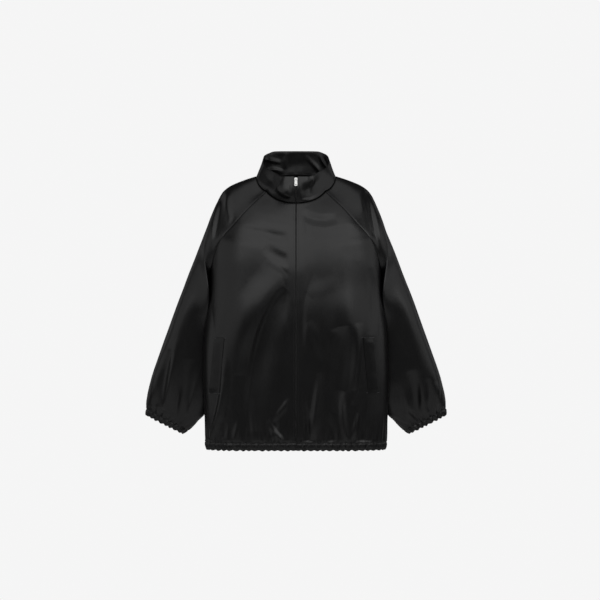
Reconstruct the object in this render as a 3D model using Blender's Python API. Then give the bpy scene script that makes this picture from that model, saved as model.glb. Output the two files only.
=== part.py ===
"""Track jacket: raglan sleeves, stand collar, full-length zip, welt pockets, elasticated hem and cuffs.

The jacket keeps the hollow form that it has when it is worn. Metres, +Z up, the front faces -Y, and the
wearer's left is +X. The origin is at the neck, in the middle of the collar opening, level with the points where
the shoulders meet the collar. Every curve is written for the +X side and mirrored, and the folds are placed on
each side by themselves.

Each cloth piece is a wall. Its outer face comes from rows of points read off the curves below, and its inner
face is the outer one moved in along the surface normals.
"""

import math
from collections import defaultdict

import bmesh
import bpy
import numpy as np
from mathutils import Matrix, Vector
from mathutils.bvhtree import BVHTree

# ---------------------------------------------------------------- driving sizes, in metres
CLOTH = 0.0012  # satin with its seam allowances
CASING = 0.0020  # doubled cloth round the elastic
COLLAR_CLOTH = 0.0014
SEAM_GAP = 0.0003  # clearance between neighbouring pieces
CREASE_LIMIT = math.cos(math.radians(62))  # panels that meet more sharply keep their own normals

HEM_Z = -0.7440
HEM_CASING_TOP = -0.7225
UNDERARM_Z = -0.3380
SLEEVE_INNER_LENGTH = 0.36  # from the cuff's casing to the underarm
NECK_FRONT = (0.0, -0.0860, -0.0757)  # where the zip crosses the collar seam
NECK_BACK = (0.0, 0.0780, 0.0120)

HEM_WAVES_QUARTER = 18  # gathers from the zip to a side seam, and twice that across the back
CUFF_WAVES_HALF = 9
GATHER_HEIGHT = 0.0019  # a gather's ridge above the cloth's middle
GATHER_FADE = 0.052  # how far above the casing the gathers die away

ZIP_HALF_GAP = 0.0021  # half the slit between the front edges
ZIP_TOP_HALF_GAP = 0.0047  # the slit is spread here by the slider
ZIP_SPREAD_FROM = -0.0900
ZIP_SPREAD_TO = -0.0260
CHAIN_HALF_WIDTH = 0.0018
CHAIN_FRONT = 0.0011  # depths behind the cloth's outer face
CHAIN_BACK = 0.0021
TAPE_WIDTH = 0.0150
TAPE_FRONT = CHAIN_BACK + SEAM_GAP
TAPE_BACK = TAPE_FRONT + 0.0006
TAPE_MEET = 0.0004  # the tapes' inner edges, below the slider
TAPE_SPREAD = 0.0024  # and at the collar's top
ZIP_FLAT = (0.016, 0.034)  # no fold or gather reaches closer to the zip than this, and all are whole past it
FACING_EDGE = 0.0056  # where the collar's facing stops short of the zip
FACING_TOP = 0.985
COLLAR_FOOT = 0.006  # the share of the collar's height left as its seam's gap
FACING_CLOSE = (0.07, 0.17)  # shares round the neck between which it comes close to the collar, past the tape
FACING_LOOSE = (0.45, 0.65)  # and between which it begins to wrinkle, behind the neck
FACING_WRINKLE = 0.0016

SATIN = (0.013, 0.013, 0.014, 1.0)
TAPE_BLACK = (0.010, 0.010, 0.010, 1.0)
NICKEL = (0.78, 0.78, 0.77, 1.0)


def table(names, *rows):
    """The rows as one array for each named column. The first column is the one that is looked up."""
    columns = np.array(rows, float).T
    return dict(zip(names.split(), columns))


# The body below the underarm, one row for each level. square is a Bezier handle's share of its side: 0.55 is an
# ellipse, and more is squarer.
BODY = table(
    "z half_width front back side_y square",
    (-0.744, 0.2425, -0.1210, 0.1080, -0.0140, 0.60),
    (-0.704, 0.2475, -0.1270, 0.1140, -0.0160, 0.60),
    (-0.640, 0.2500, -0.1320, 0.1190, -0.0190, 0.60),
    (-0.540, 0.2530, -0.1380, 0.1230, -0.0220, 0.59),
    (-0.440, 0.2500, -0.1430, 0.1260, -0.0180, 0.58),
    (-0.380, 0.2450, -0.1455, 0.1275, -0.0080, 0.57),
    (-0.338, 0.2385, -0.1460, 0.1280, 0.0000, 0.57),
)

# The middle of the chest and of the back above the underarm.
CHEST = table(
    "z y",
    (-0.3380, -0.1460),
    (-0.2700, -0.1440),
    (-0.2000, -0.1330),
    (-0.1400, -0.1150),
    (-0.1000, -0.0975),
    (-0.0757, -0.0860),
)
SPINE = table(
    "z y",
    (-0.3380, 0.1280),
    (-0.2300, 0.1300),
    (-0.1200, 0.1230),
    (-0.0500, 0.1030),
    (-0.0100, 0.0860),
    (0.0120, 0.0780),
)

# The raglan seams from the underarm (share 0) to the collar (share 1). nx, ny, nz is the body's outward
# direction there. turn is how far round its own section the sleeve leaves, in degrees from straight ahead, and
# flow is how far it gives up that direction to run on smoothly from the body.
FRONT_SEAM = table(
    "share x y z nx ny nz turn flow",
    (0.00, 0.2385, 0.0000, -0.3380, 1.00, 0.00, 0.00, 0, 0.0),
    (0.14, 0.2335, -0.0400, -0.2900, 0.96, -0.27, 0.05, 24, 0.0),
    (0.30, 0.2245, -0.0800, -0.2360, 0.84, -0.52, 0.14, 62, 0.0),
    (0.44, 0.2110, -0.1030, -0.1910, 0.62, -0.73, 0.27, 82, 0.25),
    (0.54, 0.1960, -0.1120, -0.1660, 0.46, -0.79, 0.40, 88, 0.75),
    (0.68, 0.1660, -0.1130, -0.1320, 0.33, -0.77, 0.54, 90, 1.0),
    (0.84, 0.1300, -0.0960, -0.0910, 0.28, -0.72, 0.63, 90, 1.0),
    (1.00, 0.0800, -0.0500, -0.0410, 0.36, -0.62, 0.70, 90, 1.0),
)
BACK_SEAM = table(
    "share x y z nx ny nz turn flow",
    (0.00, 0.2385, 0.0000, -0.3380, 1.00, 0.00, 0.00, 0, 0.0),
    (0.14, 0.2310, 0.0460, -0.2880, 0.95, 0.30, 0.05, 24, 0.0),
    (0.30, 0.2190, 0.0840, -0.2300, 0.80, 0.58, 0.12, 62, 0.0),
    (0.44, 0.2040, 0.1040, -0.1840, 0.58, 0.78, 0.22, 82, 0.25),
    (0.54, 0.1880, 0.1110, -0.1560, 0.42, 0.84, 0.32, 88, 0.75),
    (0.68, 0.1560, 0.1120, -0.1160, 0.28, 0.84, 0.46, 90, 1.0),
    (0.84, 0.1190, 0.0980, -0.0660, 0.22, 0.76, 0.61, 90, 1.0),
    (1.00, 0.0740, 0.0600, 0.0040, 0.34, 0.62, 0.70, 90, 1.0),
)
# The top of the sleeve, from level with the underarm to the collar.
SHOULDER = table(
    "share x y z",
    (0.00, 0.2955, 0.0110, -0.2740),
    (0.16, 0.2690, 0.0125, -0.2010),
    (0.34, 0.2410, 0.0140, -0.1340),
    (0.50, 0.2215, 0.0150, -0.0820),
    (0.60, 0.2095, 0.0150, -0.0540),
    (0.66, 0.1990, 0.0145, -0.0390),
    (0.74, 0.1800, 0.0135, -0.0245),
    (0.87, 0.1420, 0.0110, -0.0085),
    (1.00, 0.1080, 0.0060, 0.0025),
)
# The sleeve below the underarm. Each row is one ring: its inner and outer points, and how deep it is.
SLEEVE = table(
    "down inner_x inner_y inner_z outer_x outer_y outer_z front_depth back_depth",
    (0.000, 0.2385, 0.0000, -0.3380, 0.2955, 0.0110, -0.2740, 0.0830, 0.0860),
    (0.110, 0.2460, 0.0160, -0.3780, 0.3205, 0.0125, -0.3340, 0.0810, 0.0850),
    (0.280, 0.2515, 0.0310, -0.4460, 0.3475, 0.0150, -0.4080, 0.0780, 0.0810),
    (0.440, 0.2525, 0.0360, -0.5200, 0.3735, 0.0190, -0.4800, 0.0745, 0.0765),
    (0.620, 0.2520, 0.0360, -0.5960, 0.3995, 0.0230, -0.5560, 0.0680, 0.0700),
    (0.740, 0.2530, 0.0330, -0.6430, 0.4095, 0.0250, -0.6000, 0.0600, 0.0620),
    (0.860, 0.2750, 0.0290, -0.6740, 0.4120, 0.0260, -0.6240, 0.0460, 0.0480),
    (0.930, 0.2978, 0.0270, -0.6955, 0.4115, 0.0265, -0.6370, 0.0310, 0.0320),
    (1.000, 0.3140, 0.0260, -0.7060, 0.4130, 0.0265, -0.6560, 0.0240, 0.0240),
)
SLEEVE_SECTION_OUT = (0.906, 0.0, 0.423)  # from the underarm to the sleeve's top line, across the arm
SLEEVE_RING_NAMES = "inner_x inner_y inner_z outer_x outer_y outer_z front_depth back_depth"
CUFF_CASING_TOP = 0.93

# Above the underarm a row's Bezier handles are shares of its chord. They pass from the ring's own shape to these
# over the first part of the way up to the collar.
CHEST_HANDLES = (0.40, 0.36)  # at the zip or spine, and at the seam
CHEST_EASE = 0.60
CHEST_NECK_TANGENT = (0.47, 0.60, 0.64)
SPINE_NECK_TANGENT = (0.50, -0.66, -0.10)
SHOULDER_HANDLES = (0.36, 0.46)  # at the seam, and at the top line
SHOULDER_EASE = 0.42
RING_HANDLE = 4 / 3  # puts a ring's middle at its full depth

# The collar: its top edge from the zip to the middle of the back, and how its height swells outwards.
COLLAR_TOP = table(
    "share x y z",
    (0.00, 0.0000, -0.0925, -0.0032),
    (0.10, 0.0220, -0.0920, -0.0035),
    (0.18, 0.0385, -0.0870, -0.0030),
    (0.25, 0.0520, -0.0740, 0.0040),
    (0.35, 0.0690, -0.0520, 0.0150),
    (0.45, 0.0850, -0.0200, 0.0275),
    (0.55, 0.0910, 0.0110, 0.0455),
    (0.66, 0.0885, 0.0350, 0.0605),
    (0.76, 0.0735, 0.0560, 0.0710),
    (0.81, 0.0600, 0.0620, 0.0755),
    (0.88, 0.0340, 0.0685, 0.0766),
    (1.00, 0.0000, 0.0700, 0.0768),
)
COLLAR_SWELL = table("share out", (0.0, 0.0080), (0.2, 0.0060), (0.5, 0.0005), (1.0, 0.0030))

# Large folds. Each is a soft ridge (height above 0) or trough on the outer face, along a bent line from its
# first point past its middle one to its last, seen from the front. side is 1 for the wearer's left, -1 for right.
FOLD_COLUMNS = "side x0 z0 x1 z1 x2 z2 width height"
FRONT_FOLDS = table(
    FOLD_COLUMNS,
    (-1, 0.030, -0.240, 0.090, -0.350, 0.108, -0.560, 0.050, 0.0094),
    (-1, 0.026, -0.290, 0.058, -0.390, 0.070, -0.600, 0.042, -0.0090),
    (-1, 0.160, -0.420, 0.165, -0.560, 0.210, -0.690, 0.036, 0.0045),
    (-1, 0.050, -0.130, 0.085, -0.150, 0.130, -0.150, 0.034, -0.0035),
    (-1, 0.055, -0.630, 0.060, -0.680, 0.070, -0.722, 0.030, -0.0045),
    (1, 0.020, -0.105, 0.055, -0.118, 0.100, -0.108, 0.030, -0.0045),
    (1, 0.105, -0.170, 0.150, -0.290, 0.152, -0.400, 0.055, 0.0094),
    (1, 0.116, -0.400, 0.126, -0.500, 0.092, -0.630, 0.040, -0.0101),
    (1, 0.062, -0.540, 0.050, -0.640, 0.060, -0.722, 0.034, 0.0050),
    (1, 0.150, -0.600, 0.145, -0.670, 0.135, -0.722, 0.030, -0.0040),
)
BACK_FOLDS = table(
    FOLD_COLUMNS,
    (1, 0.165, -0.240, 0.120, -0.380, 0.110, -0.540, 0.045, -0.0101),
    (1, 0.020, -0.110, 0.030, -0.300, 0.015, -0.500, 0.050, 0.0072),
    (1, 0.090, -0.600, 0.100, -0.670, 0.085, -0.722, 0.032, -0.0045),
    (1, 0.180, -0.540, 0.185, -0.640, 0.170, -0.722, 0.036, 0.0050),
    (-1, 0.170, -0.230, 0.135, -0.400, 0.140, -0.600, 0.045, -0.0101),
    (-1, 0.060, -0.500, 0.050, -0.620, 0.070, -0.722, 0.036, 0.0050),
    (-1, 0.150, -0.620, 0.160, -0.680, 0.150, -0.722, 0.030, -0.0040),
)
SLEEVE_FOLDS = table(
    FOLD_COLUMNS,
    (-1, 0.196, -0.070, 0.222, -0.150, 0.245, -0.260, 0.030, -0.0060),
    (-1, 0.325, -0.460, 0.348, -0.570, 0.354, -0.650, 0.034, 0.0055),
    (-1, 0.285, -0.520, 0.296, -0.600, 0.315, -0.680, 0.030, -0.0045),
    (1, 0.190, -0.065, 0.218, -0.150, 0.240, -0.270, 0.030, -0.0060),
    (1, 0.355, -0.500, 0.378, -0.580, 0.384, -0.645, 0.030, 0.0050),
    (1, 0.315, -0.520, 0.330, -0.600, 0.335, -0.670, 0.032, -0.0055),
)
SLEEVE_BACK_FOLDS = table(
    FOLD_COLUMNS,
    (-1, 0.250, -0.230, 0.290, -0.360, 0.300, -0.480, 0.036, -0.0060),
    (-1, 0.330, -0.520, 0.350, -0.600, 0.352, -0.665, 0.030, 0.0050),
    (1, 0.255, -0.240, 0.285, -0.340, 0.305, -0.470, 0.036, -0.0060),
    (1, 0.335, -0.530, 0.352, -0.600, 0.358, -0.660, 0.030, 0.0050),
)
FOLDS = {
    "body_front": FRONT_FOLDS,
    "body_back": BACK_FOLDS,
    "sleeve_front": SLEEVE_FOLDS,
    "sleeve_back": SLEEVE_BACK_FOLDS,
}
FOLD_FADE_SHARE = 0.22  # how much of a row folds need to die away at a raglan seam
FOLD_FADE_FROM = 0.85  # they fade from just below the underarm
FOLD_FADE_COLLAR = 1.75  # and from here up, to nothing at the collar

# Columns of points in each row, from the bottom row up. share_up runs from the casing (0) to the underarm (1)
# and on to the collar (2). The gathered rows hold 4 columns to a gather, then 2. Above the underarm the body's
# rows and the sleeve's meet at the raglan seams, and the top rows end in the collar's own points.
BODY_ROWS = table(
    "share_up columns",
    (0.000, 4 * HEM_WAVES_QUARTER),
    (0.042, 2 * HEM_WAVES_QUARTER),
    (0.100, 2 * HEM_WAVES_QUARTER),
    (0.170, 15),
    (0.270, 14),
    (0.380, 14),
    (0.500, 14),
    (0.620, 14),
    (0.740, 14),
    (0.870, 14),
    (1.000, 14),
    (1.120, 14),
    (1.240, 14),
    (1.360, 13),
    (1.470, 12),
    (1.570, 11),
    (1.670, 10),
    (1.780, 9),
    (1.890, 7),
    (2.000, 6),
)
SLEEVE_ROWS = table(
    "share_up columns",
    (0.000, 4 * CUFF_WAVES_HALF),
    (0.065, 2 * CUFF_WAVES_HALF),
    (0.120, 12),
    (0.180, 11),
    (0.270, 10),
    (0.390, 10),
    (0.510, 10),
    (0.640, 10),
    (0.760, 10),
    (0.880, 10),
    (1.000, 10),
    (1.120, 10),
    (1.240, 10),
    (1.360, 10),
    (1.470, 10),
    (1.570, 9),
    (1.670, 9),
    (1.780, 8),
    (1.890, 7),
    (2.000, 6),
)
NECK_COLUMNS = 6  # in each of the four stretches of the neck on one side
COLLAR_ROWS = (0.0, 0.25, 0.5, 0.75, 1.0)

# Welt pockets: the inner top corner, seen from the front, and how far its foot leans outwards.
WELT = table("side x z lean", (-1, 0.1909, -0.4390, 0.0150), (1, 0.1791, -0.4371, 0.0145))
WELT_WIDTH = 0.0265
WELT_LENGTH = 0.1520
WELT_THICK = 0.0016
WELT_LIFT = 0.0009
WELT_ROWS = 10
WELT_COLUMNS = 3

# Slider and pull tab. Their own frame has z up the collar's slope at the zip and y into the jacket, with its
# origin on the cloth's outer face.
SLIDER_Z = -0.0124
SLIDER_LENGTH = 0.0110
SLIDER_TOP_HALF = 0.0042
SLIDER_FOOT_HALF = 0.0032
SLIDER_FRONT = (-0.0002, 0.0008)
SLIDER_BACK = (0.0036, 0.0044)
POST_HALF = 0.0011
POST_SPAN = (0.0026, 0.0052)
BRIDGE_HALF = 0.0012
BRIDGE_OUT = -0.0034
BRIDGE_SPAN = (-0.0016, 0.0030)
BRIDGE_WALL = 0.0008
PIVOT = (-0.0014, 0.00045)  # the tab's axis, in y and z
PLATE_CORNER = 0.0012
BRIDGE_CORNER = 0.0010
TAB_CORNER = 0.0014
TAB_THICK = 0.0012
TAB_BAR_HALF = 0.0006
TAB_NECK_HALF = 0.0027
TAB_HALF_WIDTH = 0.0038
TAB_LENGTH = 0.0185
TAB_WINDOW = (0.0016, -0.0006, -0.0037)  # half width, top and bottom from the axis
TAB_HOLE = (0.0015, -0.0150)  # radius, and height from the axis


# ---------------------------------------------------------------- curves
def smooth(xs, ys, at):
    """The cubic through (xs, ys) that never overshoots, read at the given places."""
    steps = np.diff(xs)
    slopes = np.diff(ys) / steps
    product = slopes[:-1] * slopes[1:]
    total = np.where(product > 0, slopes[:-1] + slopes[1:], 1.0)
    inner = np.where(product > 0, 2 * product / total, 0.0)
    tangents = np.concatenate([slopes[:1], inner, slopes[-1:]])
    i = np.clip(np.searchsorted(xs, at, side="right") - 1, 0, len(steps) - 1)
    t = (at - xs[i]) / steps[i]
    rise, run = ys[i + 1] - ys[i], steps[i]
    return (
        ys[i]
        + rise * t * t * (3 - 2 * t)
        + run * t * (1 - t) * (tangents[i] * (1 - t) - tangents[i + 1] * t)
    )


def read(columns, names, at):
    """The named columns of a table at one place in its first column."""
    keys = next(iter(columns.values()))
    return np.array([float(smooth(keys, columns[n], np.float64(at))) for n in names.split()])


def unit(v):
    return v / np.linalg.norm(v)


def bezier(p0, p1, p2, p3, shares):
    """Points of a cubic Bezier at the given shares of its length."""

    def point(t):
        t = t[:, None]
        return (1 - t) ** 3 * p0 + 3 * (1 - t) ** 2 * t * p1 + 3 * (1 - t) * t**2 * p2 + t**3 * p3

    t = np.linspace(0, 1, 97)
    length = np.concatenate([[0], np.cumsum(np.linalg.norm(np.diff(point(t), axis=0), axis=1))])
    return point(np.interp(shares * length[-1], length, t))


def zip_half_gap(z):
    """Half the slit between the front edges, wider where the slider holds it open."""
    t = np.clip((z - ZIP_SPREAD_FROM) / (ZIP_SPREAD_TO - ZIP_SPREAD_FROM), 0, 1)
    return ZIP_HALF_GAP + (ZIP_TOP_HALF_GAP - ZIP_HALF_GAP) * t * t * (3 - 2 * t)


# ---------------------------------------------------------------- rows of the outer surface, on the +X side
def seam_point(seam, share):
    """A raglan seam's point, the level direction in the body there, and the one the sleeve leaves in."""
    here = read(seam, "x y z", share)
    along = unit(read(seam, "x y z", min(share + 0.01, 1)) - read(seam, "x y z", max(share - 0.01, 0)))
    normal = read(seam, "nx ny nz", share)
    normal = unit(normal - along * (normal @ along))
    level = unit(np.cross((0, 0, 1), normal))  # runs back on the front seam, and is turned round on the back
    across = np.cross(normal, along)
    across *= -1 if across @ (0, 0, 1) < 0 else 1
    turn, flow = read(seam, "turn flow", share)
    turn = math.radians(turn)
    ahead = np.array([0.0, 1.0 if seam is BACK_SEAM else -1.0, 0.0])
    round_arm = ahead * math.cos(turn) + np.array(SLEEVE_SECTION_OUT) * math.sin(turn)
    return here, level, unit(round_arm * (1 - flow) + across * flow)


def body_row(share_up, shares, back):
    """A row of the front (from the zip to its side edge) or of half the back (from the side edge to the spine)."""
    sign = 1 if back else -1
    if share_up <= 1:
        z = HEM_CASING_TOP + (UNDERARM_Z - HEM_CASING_TOP) * share_up
        half, front, rear, side_y, square = read(BODY, "half_width front back side_y square", z)
        middle = np.array([0.0, rear if back else front, z])
        side = np.array([half, side_y, z])
        depth = abs(middle[1] - side_y)
        handle_in = np.array([square * half, 0.0, 0.0])
        handle_out = np.array([0.0, sign * square * depth, 0.0])
    else:
        up = share_up - 1
        profile, seam = (SPINE, BACK_SEAM) if back else (CHEST, FRONT_SEAM)
        neck = NECK_BACK if back else NECK_FRONT
        z = UNDERARM_Z + (neck[2] - UNDERARM_Z) * up
        middle = np.array([0.0, read(profile, "y", z)[0], z])
        side, level, _ = seam_point(seam, up)
        if back:
            level = -level
        neck_tangent = np.array(SPINE_NECK_TANGENT if back else CHEST_NECK_TANGENT)
        blend = np.clip((up - CHEST_EASE) / (1 - CHEST_EASE), 0, 1) ** 2
        tangent = unit(level * (1 - blend) + unit(neck_tangent) * blend)
        chord = np.linalg.norm(side - middle)
        half, front, rear, square = read(BODY, "half_width front back square", UNDERARM_Z)
        depth = rear if back else -front
        ring_in, ring_out = square * np.array([half, depth]) / math.hypot(half, depth)
        at_middle, at_seam = CHEST_HANDLES
        ease = min(up / CHEST_EASE, 1)
        handle_in = np.array([chord * (ring_in * (1 - ease) + at_middle * ease), 0.0, 0.0])
        handle_out = -tangent * chord * (ring_out * (1 - ease) + at_seam * ease)
    row = bezier(middle, middle + handle_in, side + handle_out, side, shares if not back else 1 - shares)
    if not back:
        gap = zip_half_gap(row[0][2])
        row[:, 0] += gap * (1 - shares) ** 6
    return row


def sleeve_row(share_up, shares, back):
    """A row of half a sleeve: the front half runs from its inner edge to the top line, the back half returns."""
    if share_up <= 1:
        return sleeve_ring(CUFF_CASING_TOP * (1 - share_up), shares, back)
    up = share_up - 1
    seam = BACK_SEAM if back else FRONT_SEAM
    edge, _, leaving = seam_point(seam, up)
    top = read(SHOULDER, "x y z", up)
    depth = read(SLEEVE, "back_depth" if back else "front_depth", 0.0)[0]
    sign = 1 if back else -1
    along = unit(read(SHOULDER, "x y z", min(up + 0.01, 1)) - read(SHOULDER, "x y z", max(up - 0.01, 0)))
    over = np.array([0.0, sign, 0.0])
    over = unit(over - along * (over @ along))
    chord = np.linalg.norm(top - edge)
    first_chord = np.linalg.norm(read(SHOULDER, "x y z", 0) - read(seam, "x y z", 0))
    ring = RING_HANDLE * depth / first_chord
    at_seam, at_top = SHOULDER_HANDLES
    ease = min(up / SHOULDER_EASE, 1) ** 0.7
    edge_out = edge + leaving * chord * (ring * (1 - ease) + at_seam * ease)
    top_out = top + over * chord * (ring * (1 - ease) + at_top * ease)
    return bezier(edge, edge_out, top_out, top, shares if not back else 1 - shares)


def sleeve_ring(down, shares, back):
    """Half of one of the sleeve's rings below the underarm."""
    values = read(SLEEVE, SLEEVE_RING_NAMES, down)
    inner, outer = values[0:3], values[3:6]
    depth = values[7] if back else -values[6]
    out = np.array([0.0, RING_HANDLE * depth, 0.0])
    return bezier(inner, inner + out, outer + out, outer, shares if not back else 1 - shares)


def casing_rows(strip, shares):
    """The rows of a casing under the given strip, from its free edge up."""
    if strip.startswith("body"):
        back = strip == "body_back"
        return [hem_row(HEM_Z + (HEM_CASING_TOP - HEM_Z) * t, shares, back) for t in (0.0, 1.0)]
    back = strip == "sleeve_back"
    return [sleeve_ring(down, shares, back) for down in (1.0, CUFF_CASING_TOP)]


def hem_row(z, shares, back):
    share_up = (z - HEM_CASING_TOP) / (UNDERARM_Z - HEM_CASING_TOP)
    return body_row(share_up, shares, back)


# ---------------------------------------------------------------- folds and gathers
def fold_offset(folds, side, x, z):
    """How far the folds of one side move points at (x, z), seen from the front, off the plain surface."""
    moved = np.zeros(len(x))
    for i in range(len(folds["side"])):
        if folds["side"][i] != side:
            continue
        p0, p1, p2 = (np.array([folds[f"x{k}"][i], folds[f"z{k}"][i]]) for k in range(3))
        t = np.linspace(0, 1, 33)[:, None]
        line = (1 - t) ** 2 * p0 + 2 * (1 - t) * t * p1 + t**2 * p2
        away = np.hypot(x[:, None] - line[:, 0], z[:, None] - line[:, 1])
        nearest = away.argmin(axis=1)
        taper = np.sin(math.pi * np.clip(nearest / 32, 0.04, 0.96)) ** 0.6
        reach = np.clip(away.min(axis=1) / folds["width"][i], 0, 1)
        moved += folds["height"][i] * taper * (1 + np.cos(math.pi * reach)) / 2
    return moved


def gather_heights(waves, seed):
    """One height for each gather, uneven as elastic leaves them."""
    return np.random.default_rng(seed).uniform(0.55, 1.25, waves + 1)


def gather_offset(shares, waves, seed, strength):
    """The gathers of one row. Rows hold 4 or 2 columns to a gather, so a ridge and a trough each meet a column."""
    phase = shares * waves
    heights = np.interp(phase, np.arange(waves + 1), gather_heights(waves, seed))
    return GATHER_HEIGHT * strength * heights * np.sin(2 * math.pi * phase)


def gathered_shares(waves, per_wave):
    """Shares along a row that land on each gather's ridge and trough, and for 4 to a wave on its sides too."""
    if per_wave == 4:
        return np.arange(4 * waves + 1) / (4 * waves)
    peaks = (np.arange(2 * waves) + 0.5) / (2 * waves)
    return np.concatenate([[0], peaks, [1]])


# ---------------------------------------------------------------- the whole skin, strip by strip
class Strip:
    """Rows of points between two edges: a panel, or a casing's share under one panel."""

    def __init__(self, side, rows, shares, offsets):
        self.shares = shares
        counts = [len(r) for r in rows]
        starts = np.concatenate([[0], np.cumsum(counts)])
        self.points = np.vstack(rows) * (side, 1, 1)
        self.offset = np.concatenate(offsets)
        self.faces = []
        for j in range(len(rows) - 1):
            self.faces += stitch(starts[j], shares[j], starts[j + 1], shares[j + 1])
        if side < 0:
            self.faces = [f[::-1] for f in self.faces]
        self.faces = np.array(self.faces)


def stitch(first, shares, first_above, shares_above):
    """Triangles between two rows, taking the next point of whichever row lags behind."""
    i = j = 0
    faces = []
    while i < len(shares) - 1 or j < len(shares_above) - 1:
        lower_next = j == len(shares_above) - 1 or (
            i < len(shares) - 1 and shares[i + 1] <= shares_above[j + 1] + 1e-9
        )
        if lower_next:
            faces.append((first + i, first + i + 1, first_above + j))
            i += 1
        else:
            faces.append((first + i, first_above + j + 1, first_above + j))
            j += 1
    return faces


def row_shares(columns, waves, back):
    """Even shares, or shares on the gathers where the row is gathered. The back is built one half at a time."""
    if columns == 4 * waves:
        return gathered_shares(waves, 4)
    if columns == 2 * waves:
        return gathered_shares(waves, 2)
    return np.linspace(0, 1, int(columns) + 1)


def panel_strip(kind, side):
    """A front, half the back, or half a sleeve, with its large folds and its gathers."""
    body = kind.startswith("body")
    back = kind.endswith("back")
    plan = BODY_ROWS if body else SLEEVE_ROWS
    waves = HEM_WAVES_QUARTER if body else CUFF_WAVES_HALF
    folds = FOLDS[kind]
    height = UNDERARM_Z - HEM_CASING_TOP if body else SLEEVE_INNER_LENGTH
    rows, all_shares, offsets = [], [], []
    for share_up, columns in zip(plan["share_up"], plan["columns"]):
        shares = row_shares(columns, waves, back)
        row = (body_row if body else sleeve_row)(share_up, shares, back)
        strength = max(0.0, 1 - share_up * height / GATHER_FADE)
        moved = fold_offset(folds, side, row[:, 0], row[:, 2]) * armhole_fade(kind, share_up, shares)
        if columns >= 2 * waves:
            moved += gather_offset(shares, waves, seed_of(kind, side), strength)
        moved *= zip_fade(kind, row)
        rows.append(row)
        all_shares.append(shares)
        offsets.append(moved)
    return Strip(side, rows, all_shares, offsets)


def casing_strip(kind, side):
    """The casing's share under one panel. Its top row is the panel's bottom row."""
    body = kind.startswith("body")
    back = kind.endswith("back")
    waves = HEM_WAVES_QUARTER if body else CUFF_WAVES_HALF
    shares = gathered_shares(waves, 4)
    rows = casing_rows(kind, shares)
    moved = gather_offset(shares, waves, seed_of(kind, side), 1.0)
    top = moved + fold_offset(FOLDS[kind], side, rows[1][:, 0], rows[1][:, 2])
    offsets = [moved * zip_fade(kind, rows[0]), top * zip_fade(kind, rows[1])]
    return Strip(side, rows, [shares, shares], offsets)


def armhole_fade(kind, share_up, shares):
    """Folds die away at the raglan seams, so that a panel doesn't reach into its neighbour's crease."""
    from_edge = 1 - shares if kind in ("body_front", "sleeve_back") else shares
    near = np.clip(from_edge / FOLD_FADE_SHARE, 0, 1)
    above = np.clip((share_up - FOLD_FADE_FROM) / (1 - FOLD_FADE_FROM), 0, 1)
    above *= np.clip((2 - share_up) / (2 - FOLD_FADE_COLLAR), 0, 1)
    return 1 - above * (1 - near * near * (3 - 2 * near))


def zip_fade(kind, row):
    """The zip's tapes keep the front flat beside it."""
    if kind != "body_front":
        return 1.0
    t = np.clip((row[:, 0] - ZIP_FLAT[0]) / (ZIP_FLAT[1] - ZIP_FLAT[0]), 0, 1)
    return t * t * (3 - 2 * t)


def seed_of(kind, side):
    return {"body_front": 11, "body_back": 23, "sleeve_front": 37, "sleeve_back": 41}[kind] + (side > 0)


# ---------------------------------------------------------------- from strips to walls
def key_of(point):
    return tuple(np.round(point * 1e6).astype(int))


def face_normals(points, faces):
    a, b, c = points[faces[:, 0]], points[faces[:, 1]], points[faces[:, 2]]
    return np.cross(b - a, c - a)


def point_normals(points, faces):
    normals = np.zeros_like(points)
    made = face_normals(points, faces)
    for k in range(3):
        np.add.at(normals, faces[:, k], made)
    return normals


def shared_normals(parts):
    """Unit normals for each part's points. Points that coincide share theirs, unless the parts meet at a crease."""
    own = [point_normals(points, faces) for points, faces in parts]
    meeting = defaultdict(list)
    for n, (points, _) in enumerate(parts):
        for i, point in enumerate(points):
            meeting[key_of(point)].append((n, i))
    result = [np.zeros_like(points) for points, _ in parts]
    for members in meeting.values():
        for n, i in members:
            mine = unit(own[n][i])
            total = sum(own[m][j] for m, j in members if unit(own[m][j]) @ mine > CREASE_LIMIT)
            result[n][i] = unit(total)
    return result


def welded(strips):
    """One set of points and faces from strips that share edges."""
    numbers, points, faces = {}, [], []
    for strip in strips:
        new = []
        for point in strip.points:
            key = key_of(point)
            if key not in numbers:
                numbers[key] = len(points)
                points.append(point)
            new.append(numbers[key])
        faces += [[new[i] for i in face] for face in strip.faces]
    return np.array(points), np.array(faces)


def border_of(faces):
    """The directed edges that only one face has."""
    edges = {}
    for face in faces:
        for k in range(3):
            a, b = int(face[k]), int(face[(k + 1) % 3])
            edges[(a, b)] = True
    return [e for e in edges if (e[1], e[0]) not in edges]


def shrink(points, normals, border, by):
    """Moves the border into the piece, within its surface, to leave the seam gap."""
    inward = np.zeros_like(points)
    for a, b in border:
        across = unit(np.cross(normals[a] + normals[b], points[b] - points[a]))
        inward[a] += across
        inward[b] += across
    moved = points.copy()
    for i in {i for edge in border for i in edge}:
        moved[i] += unit(inward[i]) * by
    return moved


def wall(points, faces, normals, thickness, gap=SEAM_GAP / 2):
    """A closed wall: the outer face, the inner face, and the rim that joins them."""
    border = border_of(faces)
    outer = shrink(points, normals, border, gap)
    inner = outer - normals * thickness
    n = len(points)
    solid = [tuple(f) for f in faces] + [tuple(i + n for i in f[::-1]) for f in faces]
    for a, b in border:
        solid += [(b, a, a + n), (b, a + n, b + n)]
    return np.vstack([outer, inner]), solid


def material(name, colour, roughness, metallic=0.0):
    made = bpy.data.materials.new(name)
    made.use_nodes = True
    shader = made.node_tree.nodes["Principled BSDF"]
    shader.inputs["Base Color"].default_value = colour
    shader.inputs["Roughness"].default_value = roughness
    shader.inputs["Metallic"].default_value = metallic
    made.diffuse_color = colour
    return made


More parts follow.
